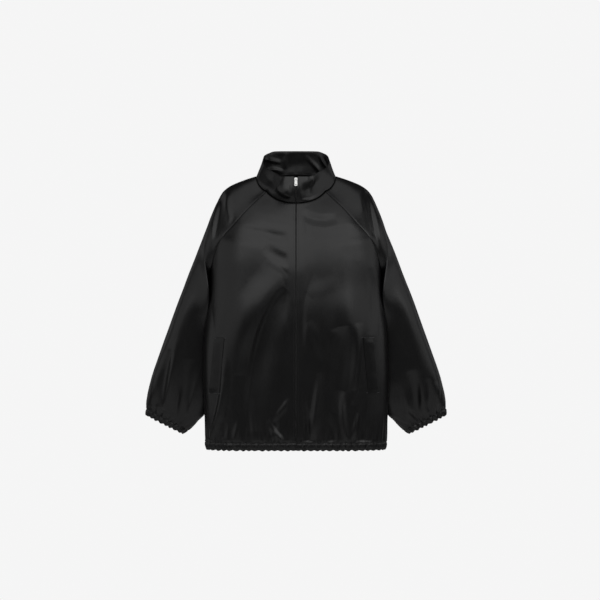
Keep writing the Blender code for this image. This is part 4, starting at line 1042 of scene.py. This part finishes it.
halves = [("bodyFront", 1), ("bodyBack", 1), ("bodyBack", -1), ("bodyFront", -1)]
hemParts = [(kind, side, hemWaves, gatherSeeds[kind] + (side > 0)) for kind, side in halves]
feet, tops, waves = casingRing(hemParts, hemRow)
hemFoot, hemTopRow = (np.vstack([*rows, rows[0][:1] * (-1, 1, 1)]) for rows in (feet, tops))
hemWave = np.concatenate([*waves, waves[0][:1]])
beside = np.minimum(np.arange(len(hemWave)), np.arange(len(hemWave))[::-1])
hemWave = hemWave * easeStep(beside / casingPlan["perWave"])
hemRing = (hemFoot, hemTopRow, hemWave)
hemGrid = buildCasing("hem_gathered_casing", "hem_casing", "hemCasing", hemRing, False, 5)
cuffGrids = {}
for side, word in sides:
    kinds = ("sleeveFront", "sleeveBack")
    cuffParts = [(kind, 1, cuffWaves, gatherSeeds[kind] + (side > 0)) for kind in kinds]
    feet, tops, waves = casingRing(cuffParts, cuffRow)
    cuffRing = (np.vstack(feet) * (side, 1, 1), np.vstack(tops) * (side, 1, 1), np.concatenate(waves))
    name, node = f"cuff_gathered_{word}", f"cuff_{word}"
    cuffGrids[side] = buildCasing(name, node, "cuffCasing", cuffRing, side < 0, 7 + side)
print("casings ready")

# Collar: an outer layer that rolls over the top edge, and a facing that wrinkles inside.
collarTop = tableOf(
    "share x y z",
    (0, 0, -0.0925, -0.0032),
    (0.1, 0.022, -0.092, -0.0035),
    (0.18, 0.0385, -0.087, -0.003),
    (0.25, 0.052, -0.074, 0.004),
    (0.35, 0.069, -0.052, 0.015),
    (0.45, 0.085, -0.02, 0.0275),
    (0.55, 0.091, 0.011, 0.0455),
    (0.66, 0.0885, 0.035, 0.0605),
    (0.76, 0.0735, 0.056, 0.071),
    (0.81, 0.06, 0.062, 0.0755),
    (0.88, 0.034, 0.0685, 0.0766),
    (1, 0, 0.07, 0.0768),
)
collarSwell = tableOf(
    "share out",
    (0, 0.008),
    (0.2, 0.006),
    (0.5, 0.0005),
    (1, 0.003),
)
collarPlan = {
    "rows": 30,
    "height": 0.072,
    "perStretch": 20,
    "frontStretch": 0.095,  # from the zip to the raglan seam
    "firstEven": 0.12,
    "zipFlat": (0.008, 0.022),
    "seamFade": 0.01,
    "rippleSize": 0.035,
    "ripple": 0.0007,
    "seamShare": 0.2,  # the collar's seam is shallower than a panel's
    "roll": 0.0015,
    "tuck": 0.004,
}
facingPlan = {
    "from": 0.0055,  # where it starts, beside the zip
    "depth": 0.003,
    "tapeDepth": 0.0042,
    "tapeFrom": 0.018,
    "tapeFade": 0.025,
    "wrinkleSize": 0.022,
    "wrinkle": 0.001,
    "wrinkleFrom": 0.05,
    "wrinkleFade": 0.08,
    "edgeFade": 0.006,
    "hang": 0.003,  # how far it hangs below the neck seam, to cover it inside
}
# Folds of the collar and of its facing. Here x runs round the neck from the zip and z up the collar.
collarFolds = foldsOf(
    (-1, 6, 22, 32, 22, 64, 36, 32, 10, 0.45, -0.5),
    (-1, 62, 28, 90, 36, 150, 34, 40, -9.5, 0.5, -0.3),
    (1, 10, 28, 55, 36, 130, 34, 40, -9, 0.5, 0.3),
    (1, 78, 70, 66, 44, 50, 18, 10, 3, 0.4, 0.2, 1.2),
    (1, 60, 68, 50, 44, 38, 16, 14, -2.2),
    (1, 10, 8, 24, 4, 38, 8, 6, 1.8),
    (1, 150, 70, 140, 40, 150, 10, 18, 1.6),
    (-1, 140, 70, 150, 40, 146, 10, 18, 1.6),
    (1, 230, 60, 215, 40, 220, 12, 16, -1.4),
    (-1, 240, 62, 230, 40, 236, 12, 16, -1.4),
)
facingFolds = foldsOf(
    (1, 205, 10, 240, 30, 262, 66, 10, 3.8, 0.5, 0.2, 1.1),
    (1, 180, 12, 206, 34, 224, 66, 9, 3.4, 0.5, -0.2, 1.1),
    (1, 246, 6, 272, 22, 296, 56, 10, 3.4, 0.5, 0, 1.1),
    (1, 154, 16, 176, 40, 192, 66, 9, 3),
    (-1, 290, 8, 262, 24, 236, 18, 9, 3.4, 0.5, 0, 1.1),
    (-1, 284, 34, 250, 50, 214, 44, 9, 3.4, 0.5, 0.2, 1.1),
    (-1, 250, 68, 226, 58, 200, 60, 8, 2.6),
    (-1, 216, 12, 196, 28, 186, 56, 10, 3),
    (-1, 300, 60, 292, 40, 296, 16, 10, 2.2),
    (-1, 150, 20, 166, 40, 160, 64, 10, 2.2),
)


def neckRow():  # the collar seam from the zip to the spine, with each point's share of the first stretch
    count = collarPlan["perStretch"]
    beside = edgeSteps / collarPlan["frontStretch"]
    first = np.concatenate([beside, np.linspace(collarPlan["firstEven"], 1, count)])
    even = np.linspace(0, 1, count + 1)
    row = bodyRow(2.0, False, 0, first)[0]
    row[:, 0] -= slitShift(row, first)
    others = ((sleeveRow, False), (sleeveRow, True), (bodyRow, True))
    points = np.vstack([row, *(rowAt(2.0, back, 0, even)[0][1:] for rowAt, back in others)])
    return points, np.concatenate([first, np.ones(len(points) - len(first))])


def collarGrid():
    base, first = neckRow()
    arc = runAlong(base)
    edge = np.array([readAt(collarTop, "x y z", share) for share in arc / arc[-1]])
    swell = np.array([readAt(collarSwell, "out", share) for share in arc / arc[-1]])
    away = unitRows(edge * (1, 1, 0))
    rows = []
    for level in np.linspace(0.004, 1 - collarPlan["roll"] / collarPlan["height"], collarPlan["rows"]):
        half = base + (edge - base) * level + away * swell * math.sin(math.pi * level)
        half[:, 0] += slitShift(half, first)
        rows.append(np.vstack([half, half[-2::-1] * (-1, 1, 1)]))
    around = np.concatenate([arc, -arc[-2::-1]])
    return np.array(rows), np.broadcast_to(around, (len(rows), len(around)))


plainCollar, collarArc = collarGrid()
collarUp = runAlong(plainCollar)
zipDistance = np.abs(collarArc)
near, whole = collarPlan["zipFlat"]
fadeIn = easeStep((zipDistance - near) / (whole - near))
seamIn = easeStep(collarUp / collarPlan["seamFade"])
offset = foldOffset(collarFolds, collarArc, collarUp) * fadeIn * seamIn
offset += softNoise(plainCollar, collarPlan["rippleSize"], 61) * collarPlan["ripple"] * fadeIn * seamIn
offset += (panelPlan["seamPuff"] + seamRise(collarUp, collarArc, 62)) * collarPlan["seamShare"]
offset -= zipRoll(zipDistance)
outerCollar = plainCollar + gridNormals(plainCollar, False) * offset[:, :, None]
outerNormals = gridNormals(outerCollar, False)
rise = unitRows(outerCollar[-1] - outerCollar[-2])
roll = collarPlan["roll"]
rolled = [
    outerCollar[-1] + outerNormals[-1] * roll * (math.cos(a) - 1) + rise * roll * math.sin(a)
    for a in np.linspace(0, math.pi, 9)[1:]
]
tucked = [rolled[-1] - rise * collarPlan["tuck"] * share for share in (0.3, 0.65, 1.0)]
collarSkin = np.concatenate([outerCollar, rolled, tucked])
collarUv = np.stack([np.broadcast_to(collarArc[0], collarSkin.shape[:2]), runAlong(collarSkin)], axis=2)
clothPiece("collar_outer", "collar", collarSkin, collarUv, False)

plan = facingPlan
wide = zipDistance[0] > plan["from"]
overTape = 1 - easeStep((zipDistance - plan["tapeFrom"]) / plan["tapeFade"])
depth = plan["depth"] + (plan["tapeDepth"] - plan["depth"]) * overTape
wrinkleIn = easeStep((zipDistance - plan["wrinkleFrom"]) / plan["wrinkleFade"])
wrinkled = foldOffset(facingFolds, collarArc, collarUp)
wrinkled += (softNoise(plainCollar, plan["wrinkleSize"], 71) + 0.6) * plan["wrinkle"] * wrinkleIn
edgeFade = easeStep(collarUp / plan["edgeFade"]) * easeStep((collarUp[-1] - collarUp) / plan["edgeFade"])
depth = depth + wrinkled * edgeFade
facingSkin = (outerCollar - outerNormals * depth[:, :, None])[:, wide]
facingUv = np.stack([collarArc, collarUp], axis=2)[:, wide]
hang = facingSkin[0] - facingSkin[1]
hang *= plan["hang"] / np.linalg.norm(hang, axis=1)[:, None]
facingSkin = np.concatenate([[facingSkin[0] + hang], facingSkin])
facingUv = np.concatenate([facingUv[:1] - (0, plan["hang"]), facingUv])
clothPiece("collar_inner_facing", "collar_facing", facingSkin, facingUv, True)
print("collar ready")

# Pocket welts: doubled cloth, sewn down along its inner edge and both ends and open along its outer edge.
weltPlan = {
    "places": {-1: (0.1909, -0.439, 0.015), 1: (0.1791, -0.4371, 0.0145)},  # x, z and lean for each side
    "width": 0.0265,
    "length": 0.152,
    "rows": 84,
    "columns": 16,
    "sewnLift": 0.0011,
    "openLift": 0.0036,
    "foot": 0.0001,
    "turn": 0.0007,  # how wide the edges turn under
    "endFade": 0.016,
    "slack": 0.0004,
    "slackSize": 0.02,
    "inner": 0.3,
    "thick": 0.0005,
}


def frontHit(side):  # gives the point of a front panel that is seen at x and z
    grid = skins["bodyFront", side]
    tree = BVHTree.FromPolygons(grid.reshape(-1, 3).tolist(), gridFaces(*grid.shape[:2]).tolist())
    return lambda x, z: np.array(tree.ray_cast(Vector((x, -1.0, z)), Vector((0.0, 1.0, 0.0)))[0])


def buildWelt(side, word):
    plan = weltPlan
    x, z, lean = plan["places"][side]
    ends = np.array([0, plan["turn"] / plan["length"]])
    downs = np.concatenate([ends, np.linspace(0.012, 0.988, plan["rows"]), 1 - ends[::-1]])[::-1]
    acrosses = np.concatenate([[0, plan["turn"] / plan["width"]], np.linspace(0.08, 1, plan["columns"])])
    hit = frontHit(side)

    def onFront(down, a):
        return hit(side * (x + lean * down + plan["width"] * a), z - plan["length"] * down)

    base = np.array([[onFront(down, a) for a in acrosses] for down in downs])
    normals = gridNormals(base, side < 0)
    fromEnd = np.minimum(downs, 1 - downs)[:, None] * plan["length"]
    across = acrosses[None, :] * plan["width"]
    opened = easeStep(across / plan["width"]) * easeStep(fromEnd / plan["endFade"])
    lift = plan["sewnLift"] + (plan["openLift"] - plan["sewnLift"]) * opened
    lift += softNoise(base, plan["slackSize"], 80 + side) * plan["slack"] * opened
    sewn = easeStep(across / plan["turn"]) * easeStep(fromEnd / plan["turn"])
    lift = plan["foot"] + (lift - plan["foot"]) * sewn
    outer = base + normals * lift[:, :, None]
    edgeLift, edgeNormal = lift[:, -1:], normals[:, -1]
    out = unitRows(base[:, -1] - base[:, -2])
    reach = edgeLift * (1 - plan["inner"]) / 2
    rolled = [
        base[:, -1] + edgeNormal * (edgeLift - reach + reach * math.cos(a)) + out * reach * math.sin(a)
        for a in np.linspace(0, math.pi, 8)[1:]
    ]
    inner = (base + normals * lift[:, :, None] * plan["inner"])[:, -2:1:-1]
    grid = np.concatenate([outer, np.stack(rolled, axis=1), inner], axis=1)
    run = runAlong(grid, 1)
    uv = np.stack([run, np.broadcast_to(downs[:, None] * plan["length"], run.shape)], axis=2)
    piece = gridMesh(f"pocket_welt_folded_{word}", grid, side < 0, uv)
    addThickness(piece, plan["thick"], satinAcross, satinReverse)
    declareCloth(piece, f"pocket_welt_{word}")
    return outer, normals


weltSkins = {side: buildWelt(side, word) for side, word in sides[::-1]}
print("pockets ready")

# Zip: woven tapes behind the front edges, and a closed coil between them, with a moulded box at its foot.
zipPlan = {
    "coilDepth": 0.0011,
    "coilRadius": 0.00052,
    "coilPitch": 0.0024,
    "coilReach": (0.0021, -0.0006),  # from the tape to just past the middle
    "openReach": (0.0012, -0.0012),
    "foot": -0.7215,
    "closedTop": -0.02,
    "openTeeth": (-0.0058, -0.0034),  # above the slider, on each tape
    "boxEnds": (-0.7432, -0.7225),
    "boxRadius": 0.0017,
    "boxFlat": 0.5,
    "slopeStep": 0.004,
    "tapeEnds": (-0.74, -0.0056),
    "tapeRows": 150,
    "tapeDepth": 0.0027,
    "tapeWidth": 0.015,
    "tapeLength": 0.745,
    "tapeInner": 0.0004,
    "tapeSpread": 0.003,
    "spreadFade": 0.014,
    "tapeThick": 0.0006,
    "metalEdge": 0.00018,
}
frontEdges = np.vstack([hemFoot[:1], skins["bodyFront", 1][:, 0], outerCollar[1:, 0]])
edgeOrder = np.argsort(frontEdges[:, 2])
edgeZ, edgeY = frontEdges[edgeOrder, 2], frontEdges[edgeOrder, 1]


def zipPoint(z, depth):  # the middle of the zip this deep under the cloth's face, and the way in there
    low, high = z - zipPlan["slopeStep"], z + zipPlan["slopeStep"]
    slope = (np.interp(high, edgeZ, edgeY) - np.interp(low, edgeZ, edgeY)) / (2 * zipPlan["slopeStep"])
    inward = unit(np.array([0.0, 1.0, -slope]))
    return np.array([0.0, np.interp(z, edgeZ, edgeY), z]) + inward * depth, inward


def capsule(start, end, radius, normal, flat=1.0, sides=6):  # a short round bar with blunt ends
    along = unit(end - start)
    across = unit(np.cross(normal, along)) * radius
    rise = normal * radius * flat
    turns = np.arange(sides) * 2 * math.pi / sides
    ringOffsets = np.cos(turns)[:, None] * across + np.sin(turns)[:, None] * rise
    cap = min(radius * 0.8, np.linalg.norm(end - start) * 0.25)
    points = np.vstack([start, start + along * cap + ringOffsets, end - along * cap + ringOffsets, end])
    faces = []
    for k in range(sides):
        a, b = 1 + k, 1 + (k + 1) % sides
        faces += [(0, b, a), (a, b, b + sides, a + sides), (a + sides, b + sides, 2 * sides + 1)]
    return points, faces


coil = []


def addTooth(z, side, reaches):
    here, inward = zipPoint(z, zipPlan["coilDepth"])
    coil.append(capsule(*(here + (side * reach, 0, 0) for reach in reaches), zipPlan["coilRadius"], inward))


for step, z in enumerate(np.arange(zipPlan["foot"], zipPlan["closedTop"], zipPlan["coilPitch"] / 2)):
    addTooth(z, 1 if step % 2 else -1, zipPlan["coilReach"])
for z in np.arange(*zipPlan["openTeeth"], zipPlan["coilPitch"]):
    for side in (1, -1):
        addTooth(z, side, [reach + zipPlan["tapeSpread"] for reach in zipPlan["openReach"]])
boxEnds = [zipPoint(z, 0)[0] + (0, zipPlan["coilDepth"], 0) for z in zipPlan["boxEnds"]]
coil.append(capsule(*boxEnds, zipPlan["boxRadius"], np.array([0.0, 1.0, 0.0]), zipPlan["boxFlat"], 8))
# the coil's colour is partly its own black and partly a painted highlight
declare(joinedMesh("zip_coil", coil, coilBlackAndPaintedHighlight), "zip_teeth", "zip_chain")

for side, word in sides:
    rows = []
    for z in np.linspace(*zipPlan["tapeEnds"], zipPlan["tapeRows"]):
        here, _ = zipPoint(z, zipPlan["tapeDepth"])
        nearTop = easeStep((z - zipPlan["closedTop"]) / zipPlan["spreadFade"])
        first = zipPlan["tapeInner"] + (zipPlan["tapeSpread"] - zipPlan["tapeInner"]) * nearTop
        rows.append([here + (side * x, 0, 0) for x in np.linspace(first, zipPlan["tapeWidth"], 7)])
    grid = np.array(rows)
    piece = gridMesh(f"zip_woven_tape_{word}", grid, side < 0, grid[:, :, [0, 2]])
    addThickness(piece, zipPlan["tapeThick"], tapeWeave, tapeWeave)
    declare(piece, "zip_tape", f"zip_tape_{word}")

for node in ("zip_slider", "pull_tab"):  # the CAD pieces stay, with softened edges and a nickel finish
    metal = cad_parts[node]
    for materialSlot in metal.material_slots:
        materialSlot.link = "OBJECT"
        materialSlot.material = nickel
    softened = metal.modifiers.new("softened", "BEVEL")
    softened.width = zipPlan["metalEdge"]
    softened.segments = 2
    softened.limit_method = "ANGLE"
print("zip ready")

# Stitching: one short bar of thread for each stitch, along the lines that the photo shows.
stitchPlan = {
    "pitch": 0.0031,
    "length": 0.0023,
    "radius": 0.00024,
    "lift": 0.0001,
    "flat": 0.7,
    "fromZip": {1: 0.0062, -1: 0.005},
    "columns": 24,  # how many columns beside the zip are searched for its line
}
stitches = []


def sewAlong(points, normals):
    arc = runAlong(points)
    length = stitchPlan["length"]

    def at(values, s):
        return np.array([np.interp(s, arc, values[:, k]) for k in range(3)])

    for s in np.arange(stitchPlan["pitch"] / 2, arc[-1] - length, stitchPlan["pitch"]):
        normal = unit(at(normals, s + length / 2))
        ends = [at(points, s + t * length) + normal * stitchPlan["lift"] for t in (0, 1)]
        stitches.append(capsule(*ends, stitchPlan["radius"], normal, stitchPlan["flat"]))


def sewBeside(grid, side):  # along the line this far from a grid's first column
    distance, columns = stitchPlan["fromZip"][side], stitchPlan["columns"]
    far = runAlong(grid[:, :columns], 1)
    line = [[np.interp(distance, far[i], grid[i, :columns, k]) for k in range(3)] for i in range(len(grid))]
    nearest = np.abs(far - distance).argmin(axis=1)
    sewAlong(np.array(line), gridNormals(grid, side < 0)[np.arange(len(grid)), nearest])


def sewCasing(grid, flip):
    sewAlong(grid[-2] * 0.4 + grid[-3] * 0.6, gridNormals(grid, flip)[-3])


for side in (1, -1):
    sewBeside(skins["bodyFront", side], side)
    sewBeside(outerCollar[:-1, : outerCollar.shape[1] // 2] if side > 0 else outerCollar[:-1, ::-1], side)
sewCasing(hemGrid, False)
for side, grid in cuffGrids.items():
    sewCasing(np.concatenate([grid, grid[:, :1]], axis=1), side < 0)
declare(joinedMesh("topstitching", stitches, threadBlack), "satin")

# A dense bar of stitches closes each end of a welt, and runs a little past it. Its thread is the black thread
# painted lighter: a painted highlight.
tackPlan = {"rows": (2, -3), "past": 0.0045, "pitch": 0.0011, "reach": 0.0011, "radius": 0.00045}
tacks = []
for side, (outer, normals) in weltSkins.items():
    hit = frontHit(side)
    for row in tackPlan["rows"]:
        first, final = outer[row, 0], outer[row, -1]
        along = unit(final - first)
        length = np.linalg.norm(final - first) + 2 * tackPlan["past"]
        down = unit(outer[row - 1, 8] - outer[row + 1, 8])
        for step in np.arange(0, length, tackPlan["pitch"]):
            middle = first + along * (step - tackPlan["past"])
            middle[1] = min(middle[1], hit(middle[0], middle[2])[1])
            ends = [middle + down * tackPlan["reach"] * way for way in (-1, 1)]
            tacks.append(capsule(*ends, tackPlan["radius"], normals[row, 8]))
declare(joinedMesh("welt_bar_tacks", tacks, tackThreadPaintedHighlight), "satin")
print("stitching ready")

# Stage: a pale floor at the wearer's feet, a pale backdrop colour, and soft lights.
studio = {
    "floorZ": -1.5,
    "floorRadius": 2.1,
    "floorTone": 0.8,
    "backdrop": 0.915,
    "ambient": 0.022,
}
lights = [  # name, place, aim, width, height, glow
    ("overFront", (0.25, -2.45, 1.5), (0.0, 0.0, -0.25), 4.3, 2.9, 1.15),
    ("overTop", (0.0, -0.5, 2.6), (0.0, 0.0, -0.25), 3.2, 1.8, 0.6),
    ("leftSide", (-2.4, -1.15, 0.1), (0.0, 0.0, -0.35), 4.0, 2.5, 0.46),
    ("rightSide", (2.45, -1.05, 0.4), (0.0, 0.0, -0.35), 4.0, 2.2, 0.58),
    ("leftBack", (-2.2, 2.0, 0.1), (0.0, 0.0, -0.35), 1.8, 3.0, 0.18),
    ("rightBack", (2.2, 2.0, 0.1), (0.0, 0.0, -0.35), 1.8, 3.0, 0.2),
]
for name, place, aim, width, height, glow in lights:
    lamp = bpy.data.lights.new(name, "AREA")
    lamp.shape = "RECTANGLE"
    lamp.size = width
    lamp.size_y = height
    lamp.energy = glow * math.pi * width * height
    lampObject = placed(name, lamp, place)
    lampObject.rotation_mode = "QUATERNION"
    lampObject.rotation_quaternion = (Vector(aim) - Vector(place)).to_track_quat("-Z", "Y")


def grey(tone):
    return (tone, tone, tone, 1.0)


world = bpy.data.worlds.new("studio")
bpy.context.scene.world = world
world.use_nodes = True
worldTree = world.node_tree
worldTree.nodes.clear()
cameraRay = addNode(worldTree, "LightPath").outputs["Is Camera Ray"]
tones = (studio["ambient"], studio["backdrop"])
lit, seen = (addNode(worldTree, "Background", {"Color": grey(tone)}).outputs[0] for tone in tones)
mixed = addNode(worldTree, "MixShader", {"Fac": cameraRay, 1: lit, 2: seen}).outputs[0]
addNode(worldTree, "OutputWorld", {"Surface": mixed})

turns = np.linspace(0, 2 * math.pi, 96, endpoint=False)
radius = studio["floorRadius"]
ringPoints = [(radius * math.cos(a), radius * math.sin(a), 0.0) for a in turns]
floorMesh = bpy.data.meshes.new("studioFloor")
floorMesh.from_pydata(ringPoints, [], [tuple(range(len(ringPoints)))])
floorPaint = bpy.data.materials.new("paleFloor")
floorPaint.use_nodes = True
floorTree = floorPaint.node_tree
floorInputs = {"Base Color": grey(studio["floorTone"]), "Roughness": 0.9}
setInputs(floorTree, floorTree.nodes["Principled BSDF"], floorInputs)
floorMesh.materials.append(floorPaint)
placed("studioFloor", floorMesh, (0.0, 0.0, studio["floorZ"]))
bpy.context.scene.view_settings.view_transform = "Standard"
print("studio ready")
